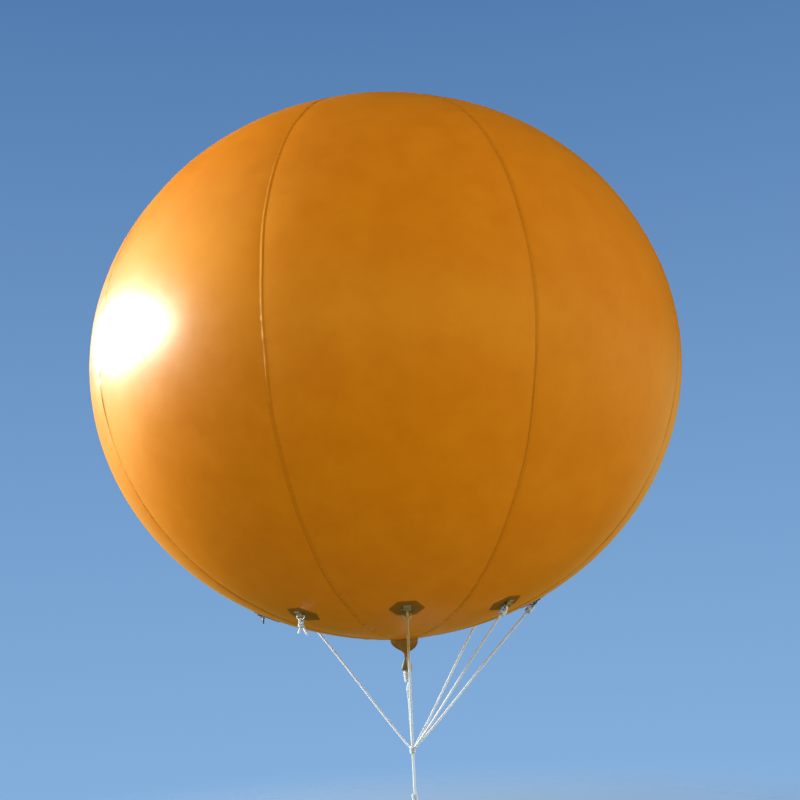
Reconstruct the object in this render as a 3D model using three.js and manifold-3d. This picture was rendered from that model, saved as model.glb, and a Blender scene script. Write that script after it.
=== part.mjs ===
// Round helium advertising balloon of welded PVC, on a rope bridle with a short tether tail.
// Millimetres, +Z up. The origin is the centre of the envelope, where its lift acts.
// Azimuth 0 faces -Y and azimuth 90 faces +X. Latitude is 0 at the equator and 90 at the top.
import * as THREE from "three";
import { mergeVertices } from "three/addons/utils/BufferGeometryUtils.js";
import Module from "manifold-3d";

const wasm = await Module();
wasm.setup();

// Envelope
const EQUATOR_RADIUS = 1000;
const POLE_RADIUS = 920;
const SHELL_THICKNESS = 10;
const GORE_COUNT = 8;
const SEAM_SINK = 5; // how far a seam lies below the middle of its gores, at the equator
const CROWN_HOLE_RADIUS = 50;
const NECK_HOLE_RADIUS = 40;
const GORE_COLUMNS = 6;
const GORE_ROWS_BELOW_PATCH = 4;
const GORE_ROWS_ABOVE_PATCH = 20;

// Reinforcing discs at the two ends of the gores
const DISC_THICKNESS = 2;
const CROWN_DISC_RADIUS = 90;
const NECK_DISC_RADIUS = 82;
const NECK_DISC_HOLE_RADIUS = 36;
const DISC_SIDES = 24;

// Load patches: a hexagon of PVC with a webbing tab that holds a D-shaped steel ring.
// Places on a patch are measured from its middle, towards the neck.
const PATCH_LATITUDE = -63.5;
const PATCH_ACROSS_CORNERS = 112;
const PATCH_THICKNESS = 2;
const TAB_WIDTH = 24;
const TAB_THICKNESS = 2;
const TAB_TAIL_END = -30;
const TAB_FOLD_CENTRE = -8;
const TAB_LOOP_INNER_RADIUS = 2.6;
const TAB_LOOP_OUTER_RADIUS = 4.6;
const RING_WIRE_RADIUS = 2; // the ring's other sizes are to the middle of its wire
const RING_BAR_HALF_LENGTH = 13;
const RING_CORNER_RADIUS = 4;
const RING_BOW_RADIUS = 8;
const RING_HEIGHT = 17;
const UNTIED_STATIONS = [5, 7, 8]; // load patches whose rings have no leg tied to them

// Ropes
const LEG_ROPE_RADIUS = 3.5;
const HITCH_LENGTH = 16;
const HITCH_RADIUS = 8;
const HITCH_DISTANCE = 11; // from the ring's wire to the middle of the hitch
const STUB_STATION = 8; // its ring still holds a short rope with two free ends
const STUB_SHORT_END = { sideways: 19, down: 22 }; // each end is measured from the hitch's middle
const STUB_LONG_END = { sideways: -30, down: 32 };
const ROPE_SIDES = 8;
const KNOT_RADIUS = 14;
const KNOT_CENTRE = new THREE.Vector3(17, 0, -1280);

// Tether tail with its eye
const TETHER_ROPE_RADIUS = 5;
const EYE_KNOT_Z = -1462;
const EYE_KNOT_RADIUS = 13;
const EYE_LENGTH = 92;
const EYE_HALF_WIDTH = 25;

// Filling neck: a gathered sleeve, its folded tail, and the rope that is wound round it.
// The rope pulls it sideways, so each section has its own centre along X.
const SLEEVE_RADIUS = 46;
const SLEEVE_CENTRE_X = 9;
const WAIST_RADIUS = 6.5;
const WAIST_CENTRE_X = 13;
const WAIST_Z = -982;
const TAIL_HALF_WIDTH = 19;
const TAIL_HALF_DEPTH = 11;
const TAIL_CENTRE_X = 15;
const WRAP_TOP_Z = -1029;
const WRAP_TURNS = 5;
const WRAP_TOP_RADIUS = 12.5;
const WRAP_BOTTOM_RADIUS = 9.5;
const STEM_RADIUS = 5;

const SEAT_GAP = 0.3; // between pieces that touch
const FACING_DOWN = new THREE.Vector3(0, 0, -1);

const radians = THREE.MathUtils.degToRad;
const stationAzimuth = (station) => ((station - 1) * 360) / GORE_COUNT;

const envelopePvc = { color: 0xd0820c, roughness: 0.3, metalness: 0 };
const patchPvc = { color: 0x57400f, roughness: 0.55, metalness: 0 };
const neckPvc = { color: 0xb8780f, roughness: 0.45, metalness: 0 };
const webbing = { color: 0x8d7c46, roughness: 0.85, metalness: 0 };
const steel = { color: 0xb9bcbf, roughness: 0.35, metalness: 1 };
const rope = { color: 0xe9ecef, roughness: 0.8, metalness: 0 };

const balloon = new THREE.Group();

function addPiece(parent, name, geometry, finish) {
  const mesh = new THREE.Mesh(geometry, new THREE.MeshStandardMaterial(finish));
  mesh.name = name;
  parent.add(mesh);
  return mesh;
}

// Several closed geometries joined into one closed body.
function joined(geometries) {
  const solids = geometries.map((geometry) => {
    const bare = geometry.clone();
    bare.deleteAttribute("normal");
    bare.deleteAttribute("uv");
    const merged = mergeVertices(bare, 1e-4);
    return new wasm.Manifold(
      new wasm.Mesh({
        numProp: 3,
        vertProperties: merged.attributes.position.array,
        triVerts: new Uint32Array(merged.index.array),
      }),
    );
  });
  const whole = solids.reduce((sum, solid) => sum.add(solid)).getMesh();
  const geometry = new THREE.BufferGeometry();
  geometry.setAttribute("position", new THREE.BufferAttribute(whole.vertProperties, 3));
  geometry.setIndex(new THREE.BufferAttribute(whole.triVerts, 1));
  geometry.computeVertexNormals();
  return geometry;
}

// A closed body from two grids of points: side 0 is its outer face and side 1 its inner face.
// Columns run towards greater azimuth and rows run upwards, so that outer faces point out.
function closedSheet(rows, columns, pointAt) {
  const positions = [];
  for (const side of [0, 1]) {
    for (let row = 0; row <= rows; row++) {
      for (let column = 0; column <= columns; column++) {
        positions.push(...pointAt(row, column, side).toArray());
      }
    }
  }
  const faceSize = (rows + 1) * (columns + 1);
  const at = (row, column, side) => side * faceSize + row * (columns + 1) + column;
  const index = [];
  const quad = (a, b, c, d) => index.push(a, b, c, a, c, d);
  for (let row = 0; row < rows; row++) {
    for (let column = 0; column < columns; column++) {
      const next = column + 1;
      quad(at(row, column, 0), at(row, next, 0), at(row + 1, next, 0), at(row + 1, column, 0));
      quad(at(row, column, 1), at(row + 1, column, 1), at(row + 1, next, 1), at(row, next, 1));
    }
    quad(at(row, 0, 0), at(row + 1, 0, 0), at(row + 1, 0, 1), at(row, 0, 1));
    quad(at(row, columns, 0), at(row, columns, 1), at(row + 1, columns, 1), at(row + 1, columns, 0));
  }
  for (let column = 0; column < columns; column++) {
    const next = column + 1;
    quad(at(0, column, 0), at(0, column, 1), at(0, next, 1), at(0, next, 0));
    quad(at(rows, column, 0), at(rows, next, 0), at(rows, next, 1), at(rows, column, 1));
  }
  const geometry = new THREE.BufferGeometry();
  geometry.setAttribute("position", new THREE.Float32BufferAttribute(positions, 3));
  geometry.setIndex(index);
  geometry.computeVertexNormals();
  return geometry;
}

// A point of the oblate envelope, raised by height above the outer face (below it if negative).
function envelopePoint(azimuth, latitude, height) {
  const across = (EQUATOR_RADIUS + height) * Math.cos(radians(latitude));
  return new THREE.Vector3(
    across * Math.sin(radians(azimuth)),
    -across * Math.cos(radians(azimuth)),
    (POLE_RADIUS + height) * Math.sin(radians(latitude)),
  );
}

// The gore's middle stands out and its edges sink to the seams. A flat 0.3 mm gap parts two gores.
function goreGeometry(azimuth) {
  const halfAngle = 180 / GORE_COUNT;
  const lowest = -THREE.MathUtils.radToDeg(Math.acos(NECK_HOLE_RADIUS / EQUATOR_RADIUS));
  const highest = THREE.MathUtils.radToDeg(Math.acos(CROWN_HOLE_RADIUS / EQUATOR_RADIUS));
  const rows = GORE_ROWS_BELOW_PATCH + GORE_ROWS_ABOVE_PATCH;
  const latitudeOf = (row) =>
    row <= GORE_ROWS_BELOW_PATCH
      ? THREE.MathUtils.mapLinear(row, 0, GORE_ROWS_BELOW_PATCH, lowest, PATCH_LATITUDE)
      : THREE.MathUtils.mapLinear(row, GORE_ROWS_BELOW_PATCH, rows, PATCH_LATITUDE, highest);
  return closedSheet(rows, GORE_COLUMNS, (row, column, side) => {
    const latitude = latitudeOf(row);
    const across = (2 * column) / GORE_COLUMNS - 1;
    const sink = SEAM_SINK * Math.abs(across) ** 3 * Math.cos(radians(latitude));
    const height = -sink - side * SHELL_THICKNESS;
    const ringRadius = (EQUATOR_RADIUS + height) * Math.cos(radians(latitude));
    const gapAngle = THREE.MathUtils.radToDeg(Math.asin(SEAT_GAP / 2 / ringRadius));
    return envelopePoint(azimuth + across * (halfAngle - gapAngle), latitude, height);
  });
}

for (let station = 1; station <= GORE_COUNT; station++) {
  addPiece(balloon, `gore_${station}`, goreGeometry(stationAzimuth(station)), envelopePvc);
}

// The height of the envelope's top above its equator plane at a distance from the axis.
function domeHeight(distance, lift) {
  const across = distance / (EQUATOR_RADIUS + lift);
  return (POLE_RADIUS + lift) * Math.sqrt(1 - across * across);
}

// A disc follows the envelope from its hole, or the axis, to its rim.
function discGeometry(holeRadius, rimRadius) {
  const steps = 2;
  const profile = [];
  for (let step = 0; step <= steps; step++) {
    const distance = THREE.MathUtils.lerp(holeRadius, rimRadius, step / steps);
    profile.push(new THREE.Vector2(distance, domeHeight(distance, SEAT_GAP)));
  }
  for (let step = steps; step >= 0; step--) {
    const distance = THREE.MathUtils.lerp(holeRadius, rimRadius, step / steps);
    profile.push(new THREE.Vector2(distance, domeHeight(distance, SEAT_GAP + DISC_THICKNESS)));
  }
  if (holeRadius > 0) {
    profile.push(profile[0].clone());
  }
  return new THREE.LatheGeometry(profile, DISC_SIDES);
}

// The lathe turns about Y, so a quarter turn stands a disc on the crown or under the neck.
addPiece(balloon, "crown_disc", discGeometry(0, CROWN_DISC_RADIUS), envelopePvc).rotation.x =
  Math.PI / 2;
addPiece(
  balloon,
  "neck_disc",
  discGeometry(NECK_DISC_HOLE_RADIUS, NECK_DISC_RADIUS),
  envelopePvc,
).rotation.x = -Math.PI / 2;

// A hexagonal plate bent onto the envelope at azimuth 0, two corners level with its middle.
function patchGeometry() {
  const corners = 6;
  const rings = 2;
  const meridianRadius = Math.hypot(
    EQUATOR_RADIUS * Math.sin(radians(PATCH_LATITUDE)),
    POLE_RADIUS * Math.cos(radians(PATCH_LATITUDE)),
  );
  const onEnvelope = (sideways, upwards, height) => {
    const latitude = PATCH_LATITUDE + THREE.MathUtils.radToDeg(upwards / meridianRadius);
    const ringRadius = EQUATOR_RADIUS * Math.cos(radians(latitude));
    const azimuth = THREE.MathUtils.radToDeg(sideways / ringRadius);
    return envelopePoint(azimuth, latitude, height);
  };
  const positions = [];
  const heights = [SEAT_GAP + PATCH_THICKNESS, SEAT_GAP];
  for (const height of heights) {
    positions.push(...onEnvelope(0, 0, height).toArray());
    for (let ring = 1; ring <= rings; ring++) {
      const radius = ((PATCH_ACROSS_CORNERS / 2) * ring) / rings;
      for (let corner = 0; corner < corners; corner++) {
        const turn = (2 * Math.PI * corner) / corners;
        const sideways = radius * Math.cos(turn);
        const upwards = radius * Math.sin(turn);
        positions.push(...onEnvelope(sideways, upwards, height).toArray());
      }
    }
  }
  const faceSize = 1 + rings * corners;
  const at = (ring, corner, side) =>
    side * faceSize + (ring === 0 ? 0 : 1 + (ring - 1) * corners + (corner % corners));
  const index = [];
  for (let corner = 0; corner < corners; corner++) {
    const next = corner + 1;
    index.push(at(0, 0, 0), at(1, corner, 0), at(1, next, 0));
    index.push(at(0, 0, 1), at(1, next, 1), at(1, corner, 1));
    index.push(at(1, corner, 0), at(2, corner, 0), at(2, next, 0));
    index.push(at(1, corner, 0), at(2, next, 0), at(1, next, 0));
    index.push(at(1, corner, 1), at(2, next, 1), at(2, corner, 1));
    index.push(at(1, corner, 1), at(1, next, 1), at(2, next, 1));
    index.push(at(2, corner, 0), at(2, corner, 1), at(2, next, 1));
    index.push(at(2, corner, 0), at(2, next, 1), at(2, next, 0));
  }
  const geometry = new THREE.BufferGeometry();
  geometry.setAttribute("position", new THREE.Float32BufferAttribute(positions, 3));
  geometry.setIndex(index);
  geometry.computeVertexNormals();
  return geometry;
}

// The seat of a load patch's hardware: X runs along the envelope towards the neck,
// Y stands out of the envelope, and the origin is the middle of the patch.
const seatOrigin = envelopePoint(0, PATCH_LATITUDE, 0);
const seatOut = new THREE.Vector3(
  0,
  -Math.cos(radians(PATCH_LATITUDE)) / EQUATOR_RADIUS,
  Math.sin(radians(PATCH_LATITUDE)) / POLE_RADIUS,
).normalize();
const seatAlong = new THREE.Vector3(0, -seatOut.z, seatOut.y);
const seatSide = new THREE.Vector3().crossVectors(seatAlong, seatOut);
const tabBase = 2 * SEAT_GAP + PATCH_THICKNESS;
const loopCentre = new THREE.Vector3(TAB_FOLD_CENTRE, tabBase + TAB_LOOP_OUTER_RADIUS, 0);

// The tab is a strip of webbing folded round the ring's bar, both plies fixed to the patch.
function tabGeometry() {
  const top = tabBase + TAB_THICKNESS;
  const foldEnd = radians(150);
  const outline = new THREE.Shape();
  outline.moveTo(TAB_TAIL_END, tabBase);
  outline.lineTo(loopCentre.x, tabBase);
  outline.absarc(loopCentre.x, loopCentre.y, TAB_LOOP_OUTER_RADIUS, -Math.PI / 2, foldEnd, false);
  outline.lineTo(loopCentre.x - 2 * TAB_LOOP_OUTER_RADIUS, top);
  outline.lineTo(TAB_TAIL_END, top);
  outline.closePath();
  const fold = new THREE.Path();
  fold.absarc(loopCentre.x, loopCentre.y, TAB_LOOP_INNER_RADIUS, 0, 2 * Math.PI, true);
  outline.holes.push(fold);
  const strip = new THREE.ExtrudeGeometry(outline, {
    depth: TAB_WIDTH,
    bevelEnabled: false,
    curveSegments: 12,
  });
  return strip.translate(0, 0, -TAB_WIDTH / 2);
}

// A closed loop of round wire along a flat outline that runs anticlockwise.
function wireLoopGeometry(outline, wireRadius) {
  const sides = 8;
  const count = outline.length;
  const positions = [];
  for (let step = 0; step < count; step++) {
    const before = outline[(step + count - 1) % count];
    const after = outline[(step + 1) % count];
    const here = outline[step];
    const inRun = here.clone().sub(before).normalize();
    const outRun = after.clone().sub(here).normalize();
    const run = inRun.clone().add(outRun).normalize();
    const stretch = 1 / run.dot(outRun);
    for (let side = 0; side < sides; side++) {
      const turn = (2 * Math.PI * side) / sides;
      const out = wireRadius * Math.cos(turn) * stretch;
      positions.push(here.x + run.y * out, here.y - run.x * out, wireRadius * Math.sin(turn));
    }
  }
  const index = [];
  for (let step = 0; step < count; step++) {
    const here = step * sides;
    const there = ((step + 1) % count) * sides;
    for (let side = 0; side < sides; side++) {
      const next = (side + 1) % sides;
      index.push(here + side, there + side, there + next);
      index.push(here + side, there + next, here + next);
    }
  }
  const geometry = new THREE.BufferGeometry();
  geometry.setAttribute("position", new THREE.Float32BufferAttribute(positions, 3));
  geometry.setIndex(index);
  geometry.computeVertexNormals();
  return geometry;
}

// The ring is a D: a straight bar along X, and a bow that reaches its full height along Y.
function ringGeometry() {
  const corner = new THREE.Vector2(RING_BAR_HALF_LENGTH, RING_CORNER_RADIUS);
  const bow = new THREE.Vector2(0, RING_HEIGHT - RING_BOW_RADIUS);
  const between = bow.clone().sub(corner);
  const tangent =
    between.angle() - Math.acos((RING_CORNER_RADIUS - RING_BOW_RADIUS) / between.length());
  const path = new THREE.Path();
  path.absarc(corner.x, corner.y, RING_CORNER_RADIUS, -Math.PI / 2, tangent, false);
  path.absarc(bow.x, bow.y, RING_BOW_RADIUS, tangent, Math.PI - tangent, false);
  path.absarc(-corner.x, corner.y, RING_CORNER_RADIUS, Math.PI - tangent, 1.5 * Math.PI, false);
  return wireLoopGeometry(path.getPoints(2), RING_WIRE_RADIUS);
}

// The ring's bar lies in the fold and its bow points in a direction given in the seat's frame.
function ringPlacement(direction) {
  const play = TAB_LOOP_INNER_RADIUS - RING_WIRE_RADIUS - SEAT_GAP;
  const barMiddle = loopCentre.clone().addScaledVector(direction, play);
  const sideways = new THREE.Vector3(0, 0, 1);
  const facing = new THREE.Vector3().crossVectors(sideways, direction);
  return new THREE.Matrix4().makeBasis(sideways, direction, facing).setPosition(barMiddle);
}

function ropeGeometry(curve, radius, steps) {
  const section = new THREE.Shape();
  for (let side = 0; side < ROPE_SIDES; side++) {
    const turn = (2 * Math.PI * side) / ROPE_SIDES;
    const corner = new THREE.Vector2(radius * Math.cos(turn), radius * Math.sin(turn));
    if (side === 0) {
      section.moveTo(corner.x, corner.y);
    } else {
      section.lineTo(corner.x, corner.y);
    }
  }
  section.closePath();
  return new THREE.ExtrudeGeometry(section, { steps, extrudePath: curve, bevelEnabled: false });
}

// A round knot, drawn out along a direction.
function lumpGeometry(centre, direction, radius, length) {
  const lump = new THREE.SphereGeometry(radius, 8, 6);
  lump.scale(1, length / 2 / radius, 1);
  const turn = new THREE.Quaternion().setFromUnitVectors(new THREE.Vector3(0, 1, 0), direction);
  return lump.applyQuaternion(turn).translate(centre.x, centre.y, centre.z);
}

const hitchMiddle = (ringFoot, pull) => ringFoot.clone().addScaledVector(pull, HITCH_DISTANCE);

// A rope loops through its ring and closes in a hitch on the side that it pulls to.
function hitchGeometries(ringFoot, ringFacing, pull) {
  const outwards = ringFacing.clone().addScaledVector(pull, -ringFacing.dot(pull)).normalize();
  const loopRadius = RING_WIRE_RADIUS + LEG_ROPE_RADIUS + 2 * SEAT_GAP;
  const beside = (along, out) =>
    ringFoot.clone().addScaledVector(pull, along).addScaledVector(outwards, out);
  const points = [beside(HITCH_DISTANCE, loopRadius / 4)];
  for (let turn = -30; turn <= 210; turn += 30) {
    const angle = radians(turn);
    points.push(beside(-loopRadius * Math.sin(angle), loopRadius * Math.cos(angle)));
  }
  points.push(beside(HITCH_DISTANCE, -loopRadius / 4));
  const loop = new THREE.CatmullRomCurve3(points, false, "centripetal");
  return [
    ropeGeometry(loop, LEG_ROPE_RADIUS, 16),
    lumpGeometry(hitchMiddle(ringFoot, pull), pull, HITCH_RADIUS, HITCH_LENGTH),
  ];
}

// A leg runs straight from its hitch to the bridle knot.
function legGeometry(ringFoot, ringFacing) {
  const towardsKnot = KNOT_CENTRE.clone().sub(ringFoot).normalize();
  const hitch = hitchMiddle(ringFoot, towardsKnot);
  const legEnd = KNOT_CENTRE.clone().addScaledVector(towardsKnot, -KNOT_RADIUS - SEAT_GAP);
  return joined([
    ...hitchGeometries(ringFoot, ringFacing, towardsKnot),
    ropeGeometry(new THREE.LineCurve3(hitch, legEnd), LEG_ROPE_RADIUS, 1),
  ]);
}

// A short rope hangs from its ring, with both ends free below the hitch.
function stubGeometry(ringFoot, ringFacing, ringSideways) {
  const hitch = hitchMiddle(ringFoot, FACING_DOWN);
  const ends = [STUB_SHORT_END, STUB_LONG_END].map(({ sideways, down }) => {
    const tip = hitch.clone().addScaledVector(ringSideways, sideways);
    tip.addScaledVector(FACING_DOWN, down);
    return ropeGeometry(new THREE.LineCurve3(hitch, tip), LEG_ROPE_RADIUS, 1);
  });
  return joined([...hitchGeometries(ringFoot, ringFacing, FACING_DOWN), ...ends]);
}

for (let station = 1; station <= GORE_COUNT; station++) {
  const meridian = new THREE.Group();
  meridian.rotation.z = radians(stationAzimuth(station));
  balloon.add(meridian);
  addPiece(meridian, `load_patch_${station}`, patchGeometry(), patchPvc);

  const seat = new THREE.Group();
  seat.applyMatrix4(
    new THREE.Matrix4().makeBasis(seatAlong, seatOut, seatSide).setPosition(seatOrigin),
  );
  meridian.add(seat);
  addPiece(seat, `load_tab_${station}`, tabGeometry(), webbing);
  balloon.updateMatrixWorld(true);

  const toSeat = seat.matrixWorld.clone().invert();
  const untied = UNTIED_STATIONS.includes(station);
  const pull = untied
    ? FACING_DOWN.clone().transformDirection(toSeat)
    : KNOT_CENTRE.clone().applyMatrix4(toSeat).sub(loopCentre).setZ(0).normalize();
  const placement = ringPlacement(pull);
  addPiece(seat, `load_ring_${station}`, ringGeometry(), steel).applyMatrix4(placement);

  const toWorld = seat.matrixWorld.clone().multiply(placement);
  const foot = new THREE.Vector3(0, RING_HEIGHT, 0).applyMatrix4(toWorld);
  const sideways = new THREE.Vector3(1, 0, 0).transformDirection(toWorld);
  const facing = new THREE.Vector3(0, 0, 1).transformDirection(toWorld);
  if (!untied) {
    addPiece(balloon, `bridle_leg_${station}`, legGeometry(foot, facing), rope);
  }
  if (station === STUB_STATION) {
    addPiece(balloon, `rope_stub_${station}`, stubGeometry(foot, facing, sideways), rope);
  }
}

addPiece(
  balloon,
  "bridle_knot",
  new THREE.SphereGeometry(KNOT_RADIUS, 14, 10).rotateX(Math.PI / 2),
  rope,
).position.copy(KNOT_CENTRE);

// The tether tail hangs from the bridle knot and ends in a knotted eye for the ground line.
function tetherGeometry() {
  const top = KNOT_CENTRE.clone();
  top.z -= KNOT_RADIUS + SEAT_GAP;
  const throat = new THREE.Vector3(KNOT_CENTRE.x, 0, EYE_KNOT_Z);
  const around = (across, down) =>
    new THREE.Vector3(throat.x + across * EYE_HALF_WIDTH, 0, throat.z - down * EYE_LENGTH);
  const rightSide = [around(0.1, 0), around(0.42, 0.2), around(0.85, 0.48), around(0.92, 0.75)];
  const leftSide = rightSide.map((point) => point.clone().setX(2 * throat.x - point.x)).reverse();
  const eye = new THREE.CatmullRomCurve3(
    [...rightSide, around(0.5, 0.95), around(0, 1), around(-0.5, 0.95), ...leftSide],
    false,
    "centripetal",
  );
  return joined([
    ropeGeometry(new THREE.LineCurve3(top, throat), TETHER_ROPE_RADIUS, 1),
    lumpGeometry(throat, FACING_DOWN, EYE_KNOT_RADIUS, 3 * EYE_KNOT_RADIUS),
    ropeGeometry(eye, TETHER_ROPE_RADIUS, 24),
  ]);
}

addPiece(balloon, "tether_tail", tetherGeometry(), rope);

// A body of level elliptical sections, each given as height, centre x and the two half widths.
function stackedGeometry(sections, sides = 20) {
  const positions = [];
  for (const { z, centreX, halfX, halfY } of sections) {
    for (let side = 0; side < sides; side++) {
      const turn = (2 * Math.PI * side) / sides;
      positions.push(centreX + halfX * Math.cos(turn), halfY * Math.sin(turn), z);
    }
  }
  const bottomCentre = sections.length * sides;
  const last = sections.length - 1;
  positions.push(sections[0].centreX, 0, sections[0].z);
  positions.push(sections[last].centreX, 0, sections[last].z);
  const index = [];
  for (let side = 0; side < sides; side++) {
    const next = (side + 1) % sides;
    index.push(bottomCentre, next, side);
    index.push(bottomCentre + 1, last * sides + side, last * sides + next);
    for (let level = 0; level < last; level++) {
      const low = level * sides;
      const high = low + sides;
      index.push(low + side, low + next, high + next);
      index.push(low + side, high + next, high + side);
    }
  }
  const geometry = new THREE.BufferGeometry();
  geometry.setAttribute("position", new THREE.Float32BufferAttribute(positions, 3));
  geometry.setIndex(index);
  geometry.computeVertexNormals();
  return geometry;
}

// The sleeve leaves the neck disc at full width and is gathered to a narrow waist, like a funnel.
const sleeveTop = -domeHeight(NECK_DISC_HOLE_RADIUS, SEAT_GAP + DISC_THICKNESS) - SEAT_GAP;
const roundSection = (z, centreX, radius) => ({ z, centreX, halfX: radius, halfY: radius });
const sleeveSections = [
  roundSection(WAIST_Z, WAIST_CENTRE_X, WAIST_RADIUS),
  roundSection(WAIST_Z + 13, WAIST_CENTRE_X, 1.5 * WAIST_RADIUS),
  roundSection(WAIST_Z + 23, WAIST_CENTRE_X, 0.32 * SLEEVE_RADIUS),
  roundSection(WAIST_Z + 32, WAIST_CENTRE_X, 0.63 * SLEEVE_RADIUS),
  roundSection(WAIST_Z + 42, WAIST_CENTRE_X, 0.83 * SLEEVE_RADIUS),
  roundSection(WAIST_Z + 50, SLEEVE_CENTRE_X + 2, 0.95 * SLEEVE_RADIUS),
  roundSection(sleeveTop, SLEEVE_CENTRE_X, SLEEVE_RADIUS),
];
addPiece(balloon, "neck_sleeve", stackedGeometry(sleeveSections), neckPvc);

// Below the waist the sleeve is folded over on itself, and its end goes down inside the wraps.
const wrapHeight = 2 * LEG_ROPE_RADIUS * WRAP_TURNS;
const wrapBottom = WRAP_TOP_Z - wrapHeight;
const foldedSection = (z, share) => ({
  z,
  centreX: THREE.MathUtils.lerp(WAIST_CENTRE_X, TAIL_CENTRE_X, share),
  halfX: TAIL_HALF_WIDTH * share,
  halfY: TAIL_HALF_DEPTH * share,
});
const tailSections = [
  roundSection(wrapBottom, WAIST_CENTRE_X, STEM_RADIUS),
  roundSection(WRAP_TOP_Z + SEAT_GAP, WAIST_CENTRE_X, STEM_RADIUS),
  foldedSection(WRAP_TOP_Z + 3, 0.8),
  foldedSection(WRAP_TOP_Z + 12, 1),
  foldedSection(WRAP_TOP_Z + 28, 0.9),
  foldedSection(WRAP_TOP_Z + 40, 0.6),
  roundSection(WAIST_Z - SEAT_GAP, WAIST_CENTRE_X, WAIST_RADIUS),
];
addPiece(balloon, "neck_tail", stackedGeometry(tailSections), neckPvc);

// The wraps are one ring of rope turns that lie tight on each other and narrow downwards.
function wrapsGeometry() {
  const innerRadius = STEM_RADIUS + SEAT_GAP;
  const top = new THREE.Vector2(innerRadius, WRAP_TOP_Z);
  const bottom = new THREE.Vector2(innerRadius, wrapBottom);
  const profile = [bottom.clone()];
  for (let level = WRAP_TURNS - 0.5; level > 0; level--) {
    const middle = WRAP_TOP_Z - 2 * LEG_ROPE_RADIUS * level;
    const radius = THREE.MathUtils.lerp(WRAP_TOP_RADIUS, WRAP_BOTTOM_RADIUS, level / WRAP_TURNS);
    for (const angle of [-60, 0, 60]) {
      const out = radius - LEG_ROPE_RADIUS * (1 - Math.cos(radians(angle)));
      profile.push(new THREE.Vector2(out, middle + LEG_ROPE_RADIUS * Math.sin(radians(angle))));
    }
  }
  profile.push(top, bottom);
  return new THREE.LatheGeometry(profile, 12).rotateX(Math.PI / 2);
}

addPiece(balloon, "neck_wraps", wrapsGeometry(), rope).position.x = WAIST_CENTRE_X;

// The rope's long end ties the neck down to the bridle knot.
const cordTop = new THREE.Vector3(WAIST_CENTRE_X, 0, wrapBottom - SEAT_GAP);
const cordRun = KNOT_CENTRE.clone().sub(cordTop).normalize();
const cordEnd = KNOT_CENTRE.clone().addScaledVector(cordRun, -KNOT_RADIUS - SEAT_GAP);
addPiece(
  balloon,
  "neck_cord",
  ropeGeometry(new THREE.LineCurve3(cordTop, cordEnd), LEG_ROPE_RADIUS, 1),
  rope,
);

export default balloon;
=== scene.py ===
import math

import bmesh
import bpy
import numpy as np
from mathutils import Matrix, Quaternion, Vector, noise


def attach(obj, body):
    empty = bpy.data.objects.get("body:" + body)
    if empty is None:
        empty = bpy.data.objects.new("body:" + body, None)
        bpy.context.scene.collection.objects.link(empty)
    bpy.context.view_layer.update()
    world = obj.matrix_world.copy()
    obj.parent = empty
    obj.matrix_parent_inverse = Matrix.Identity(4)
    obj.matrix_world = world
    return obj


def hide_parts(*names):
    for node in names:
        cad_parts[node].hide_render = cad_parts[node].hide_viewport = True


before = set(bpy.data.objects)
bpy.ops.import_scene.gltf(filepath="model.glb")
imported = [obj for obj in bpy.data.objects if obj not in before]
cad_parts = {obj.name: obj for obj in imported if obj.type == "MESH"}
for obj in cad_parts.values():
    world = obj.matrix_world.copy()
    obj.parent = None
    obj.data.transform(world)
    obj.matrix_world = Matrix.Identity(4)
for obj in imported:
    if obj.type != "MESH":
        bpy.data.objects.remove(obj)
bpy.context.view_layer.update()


# Envelope film: eight gores of calendered PVC sheet, cut flat, welded edge to edge and blown tight
# by the gas. Each gore crowns a little between its seams, and the film stands in short puckers
# beside a weld. Azimuth 0 faces -Y and 90 faces +X; latitude is 0 at the equator.
MM = 0.001
EQUATOR_RADIUS = 1000 * MM
POLE_RADIUS = 920 * MM
FILM_DEPTH = 10 * MM
GORE_COUNT = 8
GORE_ANGLE = 360 / GORE_COUNT
SEAM_SINK = 5 * MM
CROWN_HOLE_RADIUS = 50 * MM
NECK_HOLE_RADIUS = 40 * MM
CROWN_DISC_RADIUS = 90 * MM
NECK_DISC_RADIUS = 82 * MM
SEAM_WANDER = 2.6 * MM
SEAM_RUN = 150 * MM
VALLEY_DEPTH = 1.4 * MM
VALLEY_REACH = 18 * MM
PUCKER_HEIGHT = 0.9 * MM
PUCKER_LENGTH = 24 * MM
PUCKER_REACH = 26 * MM
SWELL_HEIGHT = 1.0 * MM
SWELL_LENGTH = 190 * MM
DISC_CREASE_HEIGHT = 1.2 * MM
DISC_CREASE_REACH = 60 * MM
# Radius of the circle in noise space that gives the creases round a disc
DISC_CREASE_CIRCLE = 6
GORE_ROWS = 340
# Places of a gore's columns as shares of its half width, from the seam to its middle
GORE_COLUMN_SHARES = (
    (0, 0.006, 0.013, 0.022, 0.034, 0.05, 0.075, 0.11)
    + (0.16, 0.23, 0.32, 0.44, 0.58, 0.72, 0.86, 1)
)
INNER_COLUMNS = 6
SHARP_ANGLE = 50

PVC_ORANGE = "#f79002"
PVC_ORANGE_DEEP = "#f08801"
PVC_DUST = "#f0a830"
FILM_SHINE = (1, 0.86, 0.35, 1)
PVC_IOR = 1.53
CLOUD_SIZE = 111 * MM
DUST_SIZE = 14.3 * MM
GRAIN_SIZE = 3.85 * MM


def srgb(hex_colour):
    """A colour such as #e98b0a as linear red, green, blue and alpha."""
    channels = [int(hex_colour[i : i + 2], 16) / 255 for i in (1, 3, 5)]
    linear = [c / 12.92 if c <= 0.04045 else ((c + 0.055) / 1.055) ** 2.4 for c in channels]
    return (*linear, 1)


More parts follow.
